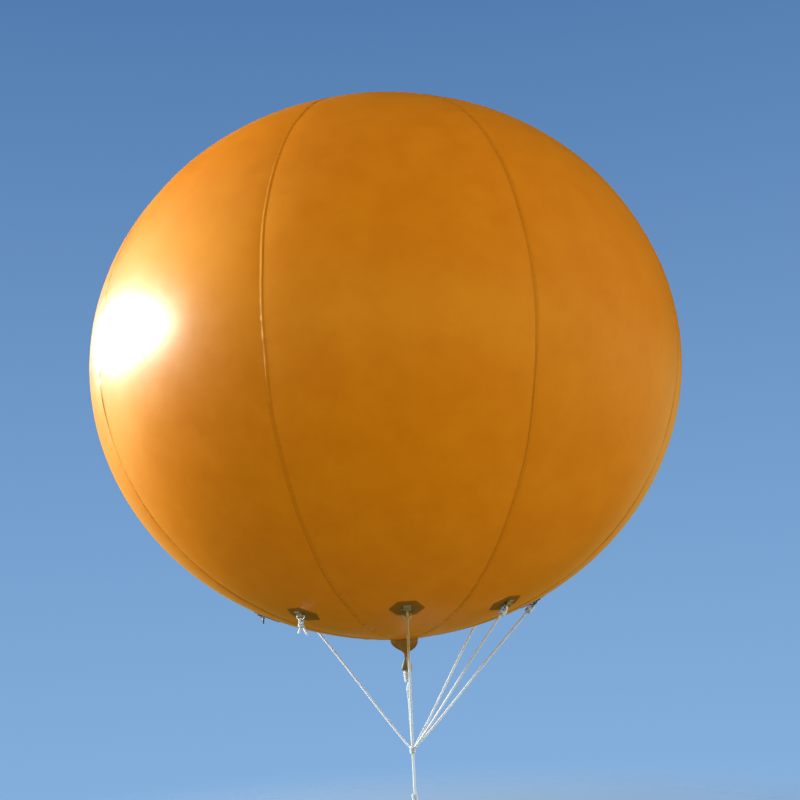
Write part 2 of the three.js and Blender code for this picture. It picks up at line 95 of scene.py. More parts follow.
def fill_inputs(tree, node, inputs):
    """Each input of a node gets a value, or is linked to the output given for it."""
    for name, value in inputs.items():
        if isinstance(value, bpy.types.NodeSocket):
            tree.links.new(value, node.inputs[name])
        else:
            node.inputs[name].default_value = value


def add_node(tree, kind, settings=None, inputs=None):
    """Adds a node with its own properties and its inputs."""
    node = tree.nodes.new(kind)
    for name, value in (settings or {}).items():
        setattr(node, name, value)
    fill_inputs(tree, node, inputs or {})
    return node


def new_material(name):
    """A material, its node tree, its Principled shader and the place on the object."""
    material = bpy.data.materials.new(name)
    material.use_nodes = True
    tree = material.node_tree
    place = add_node(tree, "ShaderNodeTexCoord").outputs["Object"]
    return material, tree, tree.nodes["Principled BSDF"], place


def clouded(tree, place, size, colours, span=(0, 1), most=1, detail=4, roughness=0.5):
    """Two colours in soft clouds of one size. Gives the blend and the value of the clouds."""
    clouds = add_node(
        tree,
        "ShaderNodeTexNoise",
        inputs={"Vector": place, "Scale": 1 / size, "Detail": detail, "Roughness": roughness},
    ).outputs["Fac"]
    share = add_node(
        tree,
        "ShaderNodeMapRange",
        inputs={"Value": clouds, "From Min": span[0], "From Max": span[1], "To Max": most},
    ).outputs[0]
    blend = add_node(
        tree,
        "ShaderNodeMix",
        {"data_type": "RGBA"},
        {"Factor": share, "A": colours[0], "B": colours[1]},
    ).outputs["Result"]
    return blend, clouds


def grained(tree, place, size, strength, depth, detail, roughness=0.5):
    """A fine grain of one size. Gives the surface's direction as the grain bends it."""
    grain = add_node(
        tree,
        "ShaderNodeTexNoise",
        inputs={"Vector": place, "Scale": 1 / size, "Detail": detail, "Roughness": roughness},
    ).outputs["Fac"]
    return add_node(
        tree, "ShaderNodeBump", inputs={"Height": grain, "Strength": strength, "Distance": depth}
    ).outputs[0]


def loft(loops, joined_ends=False):
    """Vertices and faces of a body through loops of points. Without joined ends it is capped."""
    loops = np.asarray(loops, float)
    count, size = loops.shape[:2]
    numbers = np.arange(count * size).reshape(count, size)
    rows = numbers if joined_ends else numbers[:-1]
    above = np.roll(numbers, -1, axis=0)[: len(rows)]
    sides = np.stack([rows, np.roll(rows, -1, axis=1), np.roll(above, -1, axis=1), above], axis=-1)
    faces = sides.reshape(-1, 4).tolist()
    if not joined_ends:
        faces += [numbers[0].tolist(), numbers[-1][::-1].tolist()]
    return loops.reshape(-1, 3), faces


def make_piece(name, shapes, material, nodes=(), body="balloon"):
    """One object from several lofted shapes, smooth but for its sharp edges."""
    vertices = []
    faces = []
    for points, shape_faces in shapes:
        start = len(vertices)
        vertices.extend(points.tolist())
        faces.extend([start + number for number in face] for face in shape_faces)
    mesh = bpy.data.meshes.new(name)
    mesh.from_pydata(vertices, [], faces)
    editable = bmesh.new()
    editable.from_mesh(mesh)
    bmesh.ops.recalc_face_normals(editable, faces=editable.faces)
    editable.to_mesh(mesh)
    editable.free()
    mesh.shade_smooth()
    mesh.set_sharp_from_angle(angle=math.radians(SHARP_ANGLE))
    mesh.materials.append(material)
    piece = bpy.data.objects.new(name, mesh)
    bpy.context.scene.collection.objects.link(piece)
    if nodes:
        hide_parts(*nodes)
    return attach(piece, body)


def envelope_point(azimuth, latitude, lift=0.0):
    """A point of the plain envelope, raised above it by lift."""
    across = (EQUATOR_RADIUS + lift) * math.cos(math.radians(latitude))
    return np.array(
        (
            across * math.sin(math.radians(azimuth)),
            -across * math.cos(math.radians(azimuth)),
            (POLE_RADIUS + lift) * math.sin(math.radians(latitude)),
        )
    )


def ring_radius(latitude):
    return EQUATOR_RADIUS * math.cos(math.radians(latitude))


def latitude_at(radius):
    return math.degrees(math.acos(radius / EQUATOR_RADIUS))


# Each weld is made in short runs between the heated bars, and bends a little where two runs meet
run_ends = np.arange(-11, 12) * SEAM_RUN
run_strays = np.random.default_rng(31).uniform(-1, 1, (GORE_COUNT, len(run_ends)))


def seam_azimuth(seam, latitude):
    """Seam 0 lies between gores 1 and 2. A seam strays a little from its meridian."""
    along = EQUATOR_RADIUS * math.radians(latitude)
    straying = np.interp(along, run_ends, run_strays[seam % GORE_COUNT])
    shift = SEAM_WANDER * straying * math.cos(math.radians(latitude))
    return (seam + 0.5) * GORE_ANGLE + math.degrees(shift / ring_radius(latitude))


def film_lift(gore, share, latitude):
    """How far the film stands off the plain envelope. Share runs from 0 to 1 across the gore."""
    radius = ring_radius(latitude)
    narrowing = math.cos(math.radians(latitude))
    towards_seam = abs(2 * share - 1)
    seam_distance = (1 - towards_seam) * radius * math.radians(GORE_ANGLE / 2)
    seam = (gore if share > 0.5 else gore - 1) % GORE_COUNT
    along = EQUATOR_RADIUS * math.radians(latitude)

    sink = SEAM_SINK * towards_seam**3 * narrowing
    valley = VALLEY_DEPTH * math.exp(-seam_distance / VALLEY_REACH) * narrowing
    # The second and third coordinates only keep one seam's puckers from looking like another's
    pucker = noise.noise((along / PUCKER_LENGTH, 3.7 * seam, 1.5))
    pucker *= 1 + noise.noise((along / (8 * PUCKER_LENGTH), 5.1 * seam, 8.5))
    pucker *= PUCKER_HEIGHT * math.exp(-seam_distance / PUCKER_REACH)
    azimuth = GORE_ANGLE * (gore + share - 0.5)
    place = envelope_point(azimuth, latitude)
    swell = SWELL_HEIGHT * narrowing * noise.noise(tuple(place / SWELL_LENGTH))
    disc_radius = CROWN_DISC_RADIUS if latitude > 0 else NECK_DISC_RADIUS
    around = math.radians(azimuth)
    circle_x = DISC_CREASE_CIRCLE * math.cos(around)
    circle_y = DISC_CREASE_CIRCLE * math.sin(around)
    crease = noise.noise((circle_x, circle_y, 2.5 * math.copysign(1, latitude)))
    crease *= DISC_CREASE_HEIGHT * math.exp(-max(0.0, radius - disc_radius) / DISC_CREASE_REACH)
    return swell + pucker + crease - sink - valley


def film_point(gore, share, latitude, lift=0.0):
    left = seam_azimuth(gore - 1, latitude)
    right = seam_azimuth(gore, latitude)
    azimuth = left + (right - left) * share
    return envelope_point(azimuth, latitude, film_lift(gore, share, latitude) + lift)


# PVC film is coloured in the mass and pressed to a gloss between heated rolls. It shows broad soft
# highlights, clouds of slightly deeper colour, and a little dust. Its grain is drawn much coarser
# than the real one.
def pvc_film():
    material, tree, shader, place = new_material("calendered_pvc_film")
    tone, clouds = clouded(
        tree,
        place,
        CLOUD_SIZE,
        (srgb(PVC_ORANGE_DEEP), srgb(PVC_ORANGE)),
        span=(0.35, 0.65),
        detail=6,
        roughness=0.65,
    )
    dusty = clouded(
        tree,
        place,
        DUST_SIZE,
        (tone, srgb(PVC_DUST)),
        span=(0.62, 0.85),
        most=0.08,
        detail=6,
        roughness=0.7,
    )[0]
    gloss = add_node(
        tree,
        "ShaderNodeMapRange",
        inputs={
            "Value": clouds,
            "From Min": 0.3,
            "From Max": 0.7,
            "To Min": 0.29,
            "To Max": 0.34,
        },
    )
    look = {
        "Base Color": dusty,
        "Roughness": gloss.outputs[0],
        "Normal": grained(tree, place, GRAIN_SIZE, 0.25, 0.1 * MM, detail=3),
        "IOR": PVC_IOR,
        "Specular Tint": FILM_SHINE,
    }
    fill_inputs(tree, shader, look)
    return material


film = pvc_film()
lowest = -latitude_at(NECK_HOLE_RADIUS)
highest = latitude_at(CROWN_HOLE_RADIUS)
column_shares = [share / 2 for share in GORE_COLUMN_SHARES]
column_shares += [1 - share for share in column_shares[-2::-1]]
for gore in range(GORE_COUNT):
    loops = []
    for latitude in np.linspace(lowest, highest, GORE_ROWS + 1):
        outer = [film_point(gore, share, latitude) for share in column_shares]
        inner = [
            envelope_point(GORE_ANGLE * (gore + share - 0.5), latitude, -FILM_DEPTH)
            for share in np.linspace(1, 0, INNER_COLUMNS)
        ]
        loops.append(outer + inner)
    make_piece(f"film_gore_{gore + 1}", [loft(loops)], film, [f"gore_{gore + 1}"])


# Seam welds: the edges of two gores are laid face to face and fused between heated bars, then
# trimmed. The fused edge stands up as a thin ridge, which leans to one side or the other.
# Offset across the seam and lift in millimetres
WELD_SECTION = (
    (-7, -1.2),
    (-7, 0.15),
    (-5, 0.5),
    (-3.6, 1.4),
    (-1.8, 2.5),
    (0, 2.8),
    (1.8, 2.5),
    (3.6, 1.4),
    (5, 0.5),
    (7, 0.15),
    (7, -1.2),
)
WELD_CREST = 2.8
WELD_LEAN = 2.2
WELD_WAVER = 0.2
WELD_WAVER_LENGTH = 30 * MM
WELD_ROWS = 620
KNURL_PITCH = 2.5 * MM
FLOW_SIZE = 28.6 * MM
# The weld's orange is a little darker than the film's: partly the deeper colour of the doubled
# film, partly painted shade where the doubled film lets less light through
WELD_ORANGE = "#ec8a0a"
WELD_ORANGE_DEEP = "#dc7c04"


# The heated bars print a fine cross-hatching on the band, drawn here coarser than the real 1 mm,
# and the fused film is glossier in spots.
def pvc_weld():
    material, tree, shader, place = new_material("heat_welded_pvc")
    hatching = add_node(
        tree,
        "ShaderNodeTexVoronoi",
        {"feature": "DISTANCE_TO_EDGE"},
        {"Vector": place, "Scale": 1 / KNURL_PITCH, "Randomness": 0.35},
    )
    tone, flow = clouded(tree, place, FLOW_SIZE, (srgb(WELD_ORANGE), srgb(WELD_ORANGE_DEEP)))
    gloss = add_node(
        tree, "ShaderNodeMapRange", inputs={"Value": flow, "To Min": 0.22, "To Max": 0.32}
    )
    print_depth = add_node(
        tree,
        "ShaderNodeBump",
        inputs={"Height": hatching.outputs["Distance"], "Strength": 0.25, "Distance": 0.25 * MM},
    )
    look = {
        "Base Color": tone,
        "Roughness": gloss.outputs[0],
        "Normal": print_depth.outputs[0],
        "IOR": PVC_IOR,
        "Specular Tint": FILM_SHINE,
    }
    fill_inputs(tree, shader, look)
    return material


def beside_seam(seam, offset, latitude, lift):
    """A point of the film at a distance to the right of a seam, or to its left if negative."""
    share = abs(offset) / (ring_radius(latitude) * math.radians(GORE_ANGLE))
    if offset >= 0:
        return film_point(seam + 1, share, latitude, lift)
    return film_point(seam, 1 - share, latitude, lift)


# How far each run of a weld leans, and how high it stands
run_leans = np.random.default_rng(2735).uniform(-1, 1, (GORE_COUNT, len(run_ends)))
run_heights = np.random.default_rng(14416).uniform(0.3, 1.15, (GORE_COUNT, len(run_ends)))


def weld_loop(seam, latitude):
    """The ridge's section at one place. The higher a point stands, the more it leans over."""
    along = EQUATOR_RADIUS * math.radians(latitude)
    lean = WELD_LEAN * np.interp(along, run_ends, run_leans[seam])
    waver = np.interp(along, run_ends, run_heights[seam])
    waver *= 1 + WELD_WAVER * noise.noise((along / WELD_WAVER_LENGTH, 4.1 * seam, 2.5))
    loop = []
    for offset, lift in WELD_SECTION:
        height = lift * waver if lift > 0 else lift
        shifted = offset + lean * max(0, lift) / WELD_CREST
        loop.append(beside_seam(seam, shifted * MM, latitude, height * MM))
    return loop


weld_film = pvc_weld()
weld_low = -latitude_at(NECK_DISC_RADIUS - 4 * MM)
weld_high = latitude_at(CROWN_DISC_RADIUS - 4 * MM)
for seam in range(GORE_COUNT):
    latitudes = np.linspace(weld_low, weld_high, WELD_ROWS + 1)
    loops = [weld_loop(seam, latitude) for latitude in latitudes]
    make_piece(f"seam_weld_{seam + 1}", [loft(loops)], weld_film)


# Crown and neck discs: round patches of the same film, cut with a die and welded over the tips of
# the gores. The weld runs round the rim as a pressed margin, and the disc stays a little fuller.
DISC_MARGIN = 8 * MM
DISC_SIDES = 120
DISC_MIDDLE_LIFT = 2.2 * MM
NECK_OPENING_RADIUS = 36 * MM


def disc_section(radius, inner_radius):
    """Radius and lift of a disc's section, from its inner end underneath round the rim and back."""
    sink = -1.5 * MM
    return (
        (inner_radius, sink),
        (radius, sink),
        (radius, 0.5 * MM),
        (radius - 0.8 * MM, 0.95 * MM),
        (radius - DISC_MARGIN, 1.0 * MM),
        (radius - DISC_MARGIN - 1.2 * MM, 1.7 * MM),
        (radius - 2 * DISC_MARGIN, 2.0 * MM),
        (inner_radius + 4 * MM, DISC_MIDDLE_LIFT),
        (inner_radius, DISC_MIDDLE_LIFT - 0.3 * MM),
    )


def disc_point(azimuth, radius, lift, side):
    """A point of a disc, on the crown if side is 1 and under the neck if it is -1."""
    latitude = side * latitude_at(radius)
    crease = film_lift(round(azimuth / GORE_ANGLE), 0.5, latitude)
    return envelope_point(azimuth, latitude, lift + 0.3 * crease)


disc_azimuths = np.linspace(0, 360, DISC_SIDES, endpoint=False)
crown_loops = [
    [disc_point(azimuth, radius, lift, 1) for azimuth in disc_azimuths]
    for radius, lift in disc_section(CROWN_DISC_RADIUS, 8 * MM)
]
make_piece("crown_disc_film", [loft(crown_loops)], weld_film, ["crown_disc"])
neck_section = disc_section(NECK_DISC_RADIUS, NECK_OPENING_RADIUS)
neck_loops = [
    [disc_point(azimuth, radius, lift, -1) for radius, lift in neck_section]
    for azimuth in disc_azimuths
]
make_piece("neck_disc_film", [loft(neck_loops, True)], weld_film, ["neck_disc"])


# Load patches: hexagons of coated fabric, welded on by their margin, one in the middle
# of each gore. Their dark brown is partly painted shade, as the thick patch lets no light through.
# They spread the pull of a bridle leg over the thin film.
PATCH_LATITUDE = -63.5
PATCH_RADIUS = 56 * MM
PATCH_SIDES = 72
PATCH_CORNER_TRIM = 0.978
# Share of the patch's radius and lift, from underneath, round the rim to the middle
PATCH_SECTION = (
    (0.3, -1.2),
    (1, -1.2),
    (1, 0.4),
    (0.985, 0.85),
    (0.925, 1.0),
    (0.9, 1.55),
    (0.86, 1.8),
    (0.6, 1.95),
    (0.3, 2.1),
    (0.08, 2.2),
)
SCRIM_PITCH = 5.03 * MM
RUBBED_SIZE = 22.2 * MM
# Dark brown as partly painted shade: the patch lets no light through
PATCH_SHADED_BROWN = "#965e04"
PATCH_SHADED_BROWN_WORN = "#a66e0c"
PATCH_SHINE = (1, 0.8, 0.35, 1)


# The fabric's open weave shows through its satin coating as a grid, drawn here coarser than the
# real 1.6 mm, and the coating is rubbed paler in places.
def coated_fabric():
    material, tree, shader, place = new_material("coated_scrim_fabric")
    # A wave texture of scale 1 repeats every pi / 10 metres
    threads = [
        add_node(
            tree,
            "ShaderNodeTexWave",
            {"bands_direction": direction},
            {"Vector": place, "Scale": math.pi / 10 / SCRIM_PITCH, "Distortion": 0.6},
        ).outputs["Fac"]
        for direction in ("X", "Y")
    ]
    grid = add_node(
        tree, "ShaderNodeMath", {"operation": "MAXIMUM"}, {0: threads[0], 1: threads[1]}
    )
    tone = clouded(
        tree,
        place,
        RUBBED_SIZE,
        (srgb(PATCH_SHADED_BROWN), srgb(PATCH_SHADED_BROWN_WORN)),
        span=(0.45, 0.8),
        most=0.7,
        detail=5,
        roughness=0.6,
    )[0]
    weave = add_node(
        tree,
        "ShaderNodeBump",
        inputs={"Height": grid.outputs[0], "Strength": 0.6, "Distance": 0.25 * MM},
    )
    look = {
        "Base Color": tone,
        "Normal": weave.outputs[0],
        "Roughness": 0.5,
        "IOR": 1.5,
        "Specular Tint": PATCH_SHINE,
    }
    fill_inputs(tree, shader, look)
    return material


def hexagon_radius(angle):
    """Distance from the middle of a hexagon of radius 1 to its side. Its corners are trimmed."""
    from_corner = angle % 60
    side = math.cos(math.radians(30)) / math.cos(math.radians(from_corner - 30))
    return min(side, PATCH_CORNER_TRIM)


# How far the film runs for one radian of latitude at the patches
MERIDIAN_RADIUS = math.hypot(
    EQUATOR_RADIUS * math.sin(math.radians(PATCH_LATITUDE)),
    POLE_RADIUS * math.cos(math.radians(PATCH_LATITUDE)),
)


def patch_point(station, angle, radius, lift):
    """A point of a station's patch. Angle 0 points along its gore's width and 90 upwards."""
    sideways = radius * math.cos(math.radians(angle))
    upwards = radius * math.sin(math.radians(angle))
    latitude = PATCH_LATITUDE + math.degrees(upwards / MERIDIAN_RADIUS)
    azimuth = (station - 1) * GORE_ANGLE + math.degrees(sideways / ring_radius(latitude))
    return envelope_point(azimuth, latitude, lift)


patch_fabric = coated_fabric()
for station in range(1, GORE_COUNT + 1):
    loops = [
        [
            patch_point(station, angle, share * PATCH_RADIUS * hexagon_radius(angle), lift * MM)
            for angle in np.linspace(0, 360, PATCH_SIDES, endpoint=False)
        ]
        for share, lift in PATCH_SECTION
    ]
    name = f"load_patch_fabric_{station}"
    make_piece(name, [loft(loops)], patch_fabric, [f"load_patch_{station}"])


# Webbing tabs: a strip of woven polyester webbing is folded round the bar of the D-ring, and both
# plies are stitched together and to the patch with a box of stitches and a cross in it.
SEAT_LIFT = 2.6 * MM
TAB_HALF_WIDTH = 12 * MM
PLY_HALF_THICKNESS = 0.65 * MM
TAB_END = -30 * MM
FOLD_CENTRE = np.array((-8 * MM, SEAT_LIFT + 4.6 * MM))
FOLD_RADIUS = 3.7 * MM
WEBBING_RIB_PITCH = 2.2 * MM
GRIME_SIZE = 11.1 * MM
WEBBING_KHAKI = "#8a7a42"
WEBBING_SOILED = "#6a5a28"
STITCH_LENGTH = 2.7 * MM
STITCH_SPACING = 3.6 * MM
STITCH_RADIUS = 0.38 * MM
# Far and near end of the box of stitches along the tab, and half its width
STITCH_BOX = (-28 * MM, -18 * MM, 9.5 * MM)
TWIST_PITCH = 1.11 * MM
THREAD_PALE = "#b5a878"


def seat_frame(station):
    """The middle of a patch, and its directions along the film to the neck, off it and sideways."""
    latitude = math.radians(PATCH_LATITUDE)
    turn = Matrix.Rotation(math.radians((station - 1) * GORE_ANGLE), 3, "Z")
    middle = Vector(envelope_point(0, PATCH_LATITUDE))
    off = Vector((0, -math.cos(latitude) / EQUATOR_RADIUS, math.sin(latitude) / POLE_RADIUS))
    off.normalize()
    along = Vector((0, -off.z, off.y))
    sideways = Vector((1, 0, 0))
    return [np.array(turn @ vector) for vector in (middle, along, off, sideways)]


def on_seat(seat, along, off, sideways):
    """A point near a patch. The film curves away from its middle, and what lies on it follows."""
    middle, along_way, off_way, side_way = seat
    fall = along * along / (2 * MERIDIAN_RADIUS)
    return middle + along * along_way + (off - fall) * off_way + sideways * side_way


# Webbing has raised ribs across its width from the weft and a dull sheen, and holds grime between
# them.
def woven_webbing():
    material, tree, shader, place = new_material("polyester_webbing")
    warp = add_node(
        tree,
        "ShaderNodeTexVoronoi",
        {"feature": "F1"},
        {"Vector": place, "Scale": 1 / WEBBING_RIB_PITCH, "Randomness": 0.25},
    )
    tone = clouded(
        tree,
        place,
        GRIME_SIZE,
        (srgb(WEBBING_KHAKI), srgb(WEBBING_SOILED)),
        span=(0.4, 0.75),
        most=0.6,
        detail=5,
        roughness=0.65,
    )[0]
    ribs = add_node(
        tree,
        "ShaderNodeBump",
        {"invert": True},
        {"Height": warp.outputs["Distance"], "Strength": 0.8, "Distance": 0.4 * MM},
    )
    look = {
        "Base Color": tone,
        "Normal": ribs.outputs[0],
        "Roughness": 0.82,
        "Sheen Weight": 0.25,
    }
    fill_inputs(tree, shader, look)
    return material


# Bonded polyester thread is a smooth, slightly waxed cord, paler than the webbing under it.
def sewing_thread():
    material, tree, shader, place = new_material("bonded_thread")
    twist = grained(tree, place, TWIST_PITCH, 0.5, 0.1 * MM, detail=1)
    look = {"Base Color": srgb(THREAD_PALE), "Normal": twist, "Roughness": 0.6}
    fill_inputs(tree, shader, look)
    return material


def strap_path():
    """The middle of the strap from one end round the fold to the other, as along and off."""
    lower = SEAT_LIFT + PLY_HALF_THICKNESS
    upper = lower + 2.2 * PLY_HALF_THICKNESS
    points = [(TAB_END, lower), (TAB_END / 2, lower)]
    for turn in range(-90, 151, 15):
        way = np.array((math.cos(math.radians(turn)), math.sin(math.radians(turn))))
        points.append(tuple(FOLD_CENTRE + FOLD_RADIUS * way))
    points.append((FOLD_CENTRE[0] - 9 * MM, upper + 0.4 * MM))
    points += [(TAB_END * 0.75, upper), (TAB_END, upper)]
    return points


def strap_loops(seat):
    """The strap's section is thin and wide, with its edges rounded."""
    edge = TAB_HALF_WIDTH - 0.5 * MM
    top = [(-TAB_HALF_WIDTH, 0), (-edge, 1), (0, 1.1), (edge, 1)]
    section = top + [(-sideways, -depth) for sideways, depth in top]
    path = np.array(strap_path())
    runs = np.gradient(path, axis=0)
    runs /= np.linalg.norm(runs, axis=1)[:, None]
    loops = []
    for place, run in zip(path, runs):
        across = np.array((-run[1], run[0])) * PLY_HALF_THICKNESS
        loop = []
        for sideways, depth in section:
            along, off = place + across * depth
            loop.append(on_seat(seat, along, off, sideways))
        loops.append(loop)
    return loops


def stitch_row(seat, start, end):
    """Short threads end to end between two places on the strap, each as along and sideways."""
    start, end = np.array(start), np.array(end)
    length = np.linalg.norm(end - start)
    run = (end - start) / length
    across = np.array((-run[1], run[0]))
    count = max(1, round(length / STITCH_SPACING))
    top = SEAT_LIFT + 4.2 * PLY_HALF_THICKNESS
    shapes = []
    for number in range(count):
        middle = start + (end - start) * (number + 0.5) / count
        loops = []
        for share in (-1, -0.75, 0, 0.75, 1):
            radius = STITCH_RADIUS * (0.35 if abs(share) == 1 else 1)
            place = middle + run * share * STITCH_LENGTH / 2
            off = top - 0.5 * STITCH_RADIUS * share * share
            loop = []
            for turn in range(0, 360, 60):
                side = radius * math.cos(math.radians(turn))
                up = radius * math.sin(math.radians(turn))
                along, sideways = place + across * side
                loop.append(on_seat(seat, along, off + up, sideways))
            loops.append(loop)
        shapes.append(loft(loops))
    return shapes


webbing = woven_webbing()
thread = sewing_thread()
for station in range(1, GORE_COUNT + 1):
    seat = seat_frame(station)
    strap = [loft(strap_loops(seat))]
    make_piece(f"webbing_tab_{station}", strap, webbing, [f"load_tab_{station}"])
    far, near, half = STITCH_BOX
    corners = [(far, -half), (far, half), (near, half), (near, -half)]
    rows = list(zip(corners, corners[1:] + corners[:1]))
    rows += [(corners[0], corners[2]), (corners[1], corners[3])]
    stitches = [shape for start, end in rows for shape in stitch_row(seat, start, end)]
    make_piece(f"tab_stitching_{station}", stitches, thread)


# D-rings: bent from 4 mm steel wire, butt-welded in the middle of the bar, and zinc-plated. The bar
# lies in the fold of the webbing, and the rope pulls on the middle of the bow.
WIRE_RADIUS = 2 * MM
BAR_HALF_LENGTH = 13 * MM
CORNER_RADIUS = 4 * MM
BOW_RADIUS = 8 * MM
RING_HEIGHT = 17 * MM
BAR_PLAY = 0.3 * MM
BUTT_WELD_SWELL = 1.1
# Stations whose ring carries no taut leg, and the body that each of these rings swings as
FREE_BODIES = {5: "rear_ring", 7: "spare_ring", 8: "left_ring"}
KNOT_CENTRE = np.array((17, 0, -1280)) * MM
ZINC_CLOUD_SIZE = 5.56 * MM
ZINC = "#b9bdc1"
ZINC_DULL = "#8b8f92"


# Zinc plating on wire is a soft bright metal, clouded by handling and duller where it has oxidised.
def zinc_plated_wire():
    material, tree, shader, place = new_material("zinc_plated_steel")
    tone, clouds = clouded(
        tree, place, ZINC_CLOUD_SIZE, (srgb(ZINC), srgb(ZINC_DULL)), roughness=0.6
    )
    gloss = add_node(
        tree,
        "ShaderNodeMapRange",
        inputs={
            "Value": clouds,
            "From Min": 0.3,
            "From Max": 0.7,
            "To Min": 0.25,
            "To Max": 0.45,
        },
    )
    look = {"Base Color": tone, "Roughness": gloss.outputs[0], "Metallic": 1}
    fill_inputs(tree, shader, look)
    return material


def unit(vector):
    vector = np.asarray(vector, float)
    return vector / np.linalg.norm(vector)


def swept(path, section_at, joined_ends=False, first_side=None):
    """Loops square to a path. Each is turned as little as can be from the one before it."""
    path = np.asarray(path, float)
    if joined_ends:
        runs = np.roll(path, -1, axis=0) - np.roll(path, 1, axis=0)
    else:
        runs = np.gradient(path, axis=0)
    side = first_side if first_side is not None else np.cross(runs[0], (0.3, 0.5, 0.8))
    loops = []
    for number, (place, run) in enumerate(zip(path, runs)):
        run = unit(run)
        side = unit(side - np.dot(side, run) * run)
        other = np.cross(run, side)
        loops.append([place + a * side + b * other for a, b in section_at(number)])
    return loops


def wire_outline():
    """The ring's middle line as sideways and downwards: the bar, two corners and the bow."""
    corner = np.array((BAR_HALF_LENGTH, CORNER_RADIUS))
    bow = np.array((0, RING_HEIGHT - BOW_RADIUS))
    between = bow - corner
    towards_bow = math.degrees(math.atan2(between[1], between[0]))
    apart = math.degrees(math.acos((CORNER_RADIUS - BOW_RADIUS) / np.linalg.norm(between)))
    tangent = towards_bow - apart
    mirrored = np.array((-corner[0], corner[1]))
    arcs = (
        (corner, CORNER_RADIUS, -90, tangent, 10),
        (bow, BOW_RADIUS, tangent, 180 - tangent, 18),
        (mirrored, CORNER_RADIUS, 180 - tangent, 270, 10),
    )
    outline = []
    for centre, radius, start, end, steps in arcs:
        for angle in np.radians(np.linspace(start, end, steps + 1)):
            outline.append(centre + radius * np.array((math.cos(angle), math.sin(angle))))
    outline += [np.array((share * BAR_HALF_LENGTH, 0)) for share in (-0.5, -0.06, 0, 0.06, 0.5)]
    return outline


# The middle of the bar is the last point but two
BUTT_WELD = len(wire_outline()) - 3


def ring_frame(station):
    """The middle of the ring's bar, and the directions of its pull, its bar and its face."""
    middle, along, off, sideways = seat_frame(station)
    fold = middle + FOLD_CENTRE[0] * along + FOLD_CENTRE[1] * off
    target = fold + np.array((0, 0, -1)) if station in FREE_BODIES else KNOT_CENTRE
    pull = target - fold
    pull = unit(pull - np.dot(pull, sideways) * sideways)
    return fold + BAR_PLAY * pull, pull, sideways, np.cross(sideways, pull)


def wire_section(number):
    """Round wire, a little thicker at the weld in the middle of the bar."""
    radius = WIRE_RADIUS * (BUTT_WELD_SWELL if number == BUTT_WELD else 1)
    angles = np.radians(np.arange(0, 360, 30))
    return [(radius * math.cos(angle), radius * math.sin(angle)) for angle in angles]


zinc = zinc_plated_wire()
for station in range(1, GORE_COUNT + 1):
    bar_middle, pull, bar_way, face_way = ring_frame(station)
    path = [bar_middle + sideways * bar_way + down * pull for sideways, down in wire_outline()]
    wire = [loft(swept(path, wire_section, True, face_way), True)]
    body = FREE_BODIES.get(station, "balloon")
    make_piece(f"d_ring_{station}", wire, zinc, [f"load_ring_{station}"], body)


# Bridle legs: five lengths of three-strand white polyester rope, sold as 8 mm. Each comes up from
# the knot, goes round the bow of its D-ring and twice round itself, and ends in a short tail.
LEG_RADIUS = 4.2 * MM
HITCH_TURNS = 2
HITCH_START = 7 * MM
HITCH_PITCH = 7.2 * MM
FREE_TAIL = 17 * MM
ROPE_CLEARANCE = 0.4 * MM
LEG_SPREAD = 4.5 * MM
ROPE_STEP = 2.2 * MM
COIL_STEPS = 12
CURVE_STEPS = 10
STRANDS = 3
STRAND_POINTS = 6
# Shares of the rope's radius: from its middle to a strand's, a strand's radius, the deepest groove
STRAND_OFFSET = 0.14
STRAND_SIZE = 0.86
DEEPEST_GROOVE = 0.55
LAY_IN_DIAMETERS = 2.8
HANDLED_SIZE = 16.7 * MM
YARN_PITCH = 0.9 * MM
# Both rope colours are tinted blue as painted skylight; the rope itself is white
ROPE_WHITE = "#e0ecff"
ROPE_GREY = "#cddbee"
ROPE_PAINTED_SHADE_TAN = "#c39a58"
# Height, and distance from the middle along X, between which a rope goes from plain to painted
# shade
PAINTED_SHADE_HEIGHTS = (-1000 * MM, -950 * MM)
PAINTED_SHADE_SIDES = (140 * MM, 60 * MM)


# Spun polyester rope is a matt white with a slight sheen and grey clouds, and light goes a little
# way into it. The upper end of the front leg is painted tan as painted shade under the balloon.
def polyester_rope():
    material, tree, shader, place = new_material("three_strand_polyester")
    tone = clouded(
        tree,
        place,
        HANDLED_SIZE,
        (srgb(ROPE_WHITE), srgb(ROPE_GREY)),
        span=(0.45, 0.8),
        most=0.7,
        detail=5,
        roughness=0.65,
    )[0]
    parts = add_node(tree, "ShaderNodeSeparateXYZ", inputs={0: place}).outputs
    from_middle = add_node(tree, "ShaderNodeMath", {"operation": "ABSOLUTE"}, {0: parts["X"]})
    high_up, near_middle = [
        add_node(
            tree,
            "ShaderNodeMapRange",
            inputs={"Value": value, "From Min": start, "From Max": end},
        ).outputs[0]
        for value, (start, end) in (
            (parts["Z"], PAINTED_SHADE_HEIGHTS),
            (from_middle.outputs[0], PAINTED_SHADE_SIDES),
        )
    ]
    # Painted shade: the front leg's upper end, under the balloon, is mixed towards tan
    painted_shade = add_node(
        tree, "ShaderNodeMath", {"operation": "MULTIPLY"}, {0: high_up, 1: near_middle}
    )
    with_painted_shade = add_node(
        tree,
        "ShaderNodeMix",
        {"data_type": "RGBA"},
        {"Factor": painted_shade.outputs[0], "A": tone, "B": srgb(ROPE_PAINTED_SHADE_TAN)},
    )
    look = {
        "Base Color": with_painted_shade.outputs["Result"],
        "Normal": grained(tree, place, YARN_PITCH, 0.5, 0.15 * MM, detail=2, roughness=0.4),
        "Roughness": 0.75,
        "Sheen Weight": 0.3,
        "Subsurface Weight": 0.85,
        "Subsurface Radius": (1, 1, 1),
        "Subsurface Scale": 8 * MM,
    }
    fill_inputs(tree, shader, look)
    return material


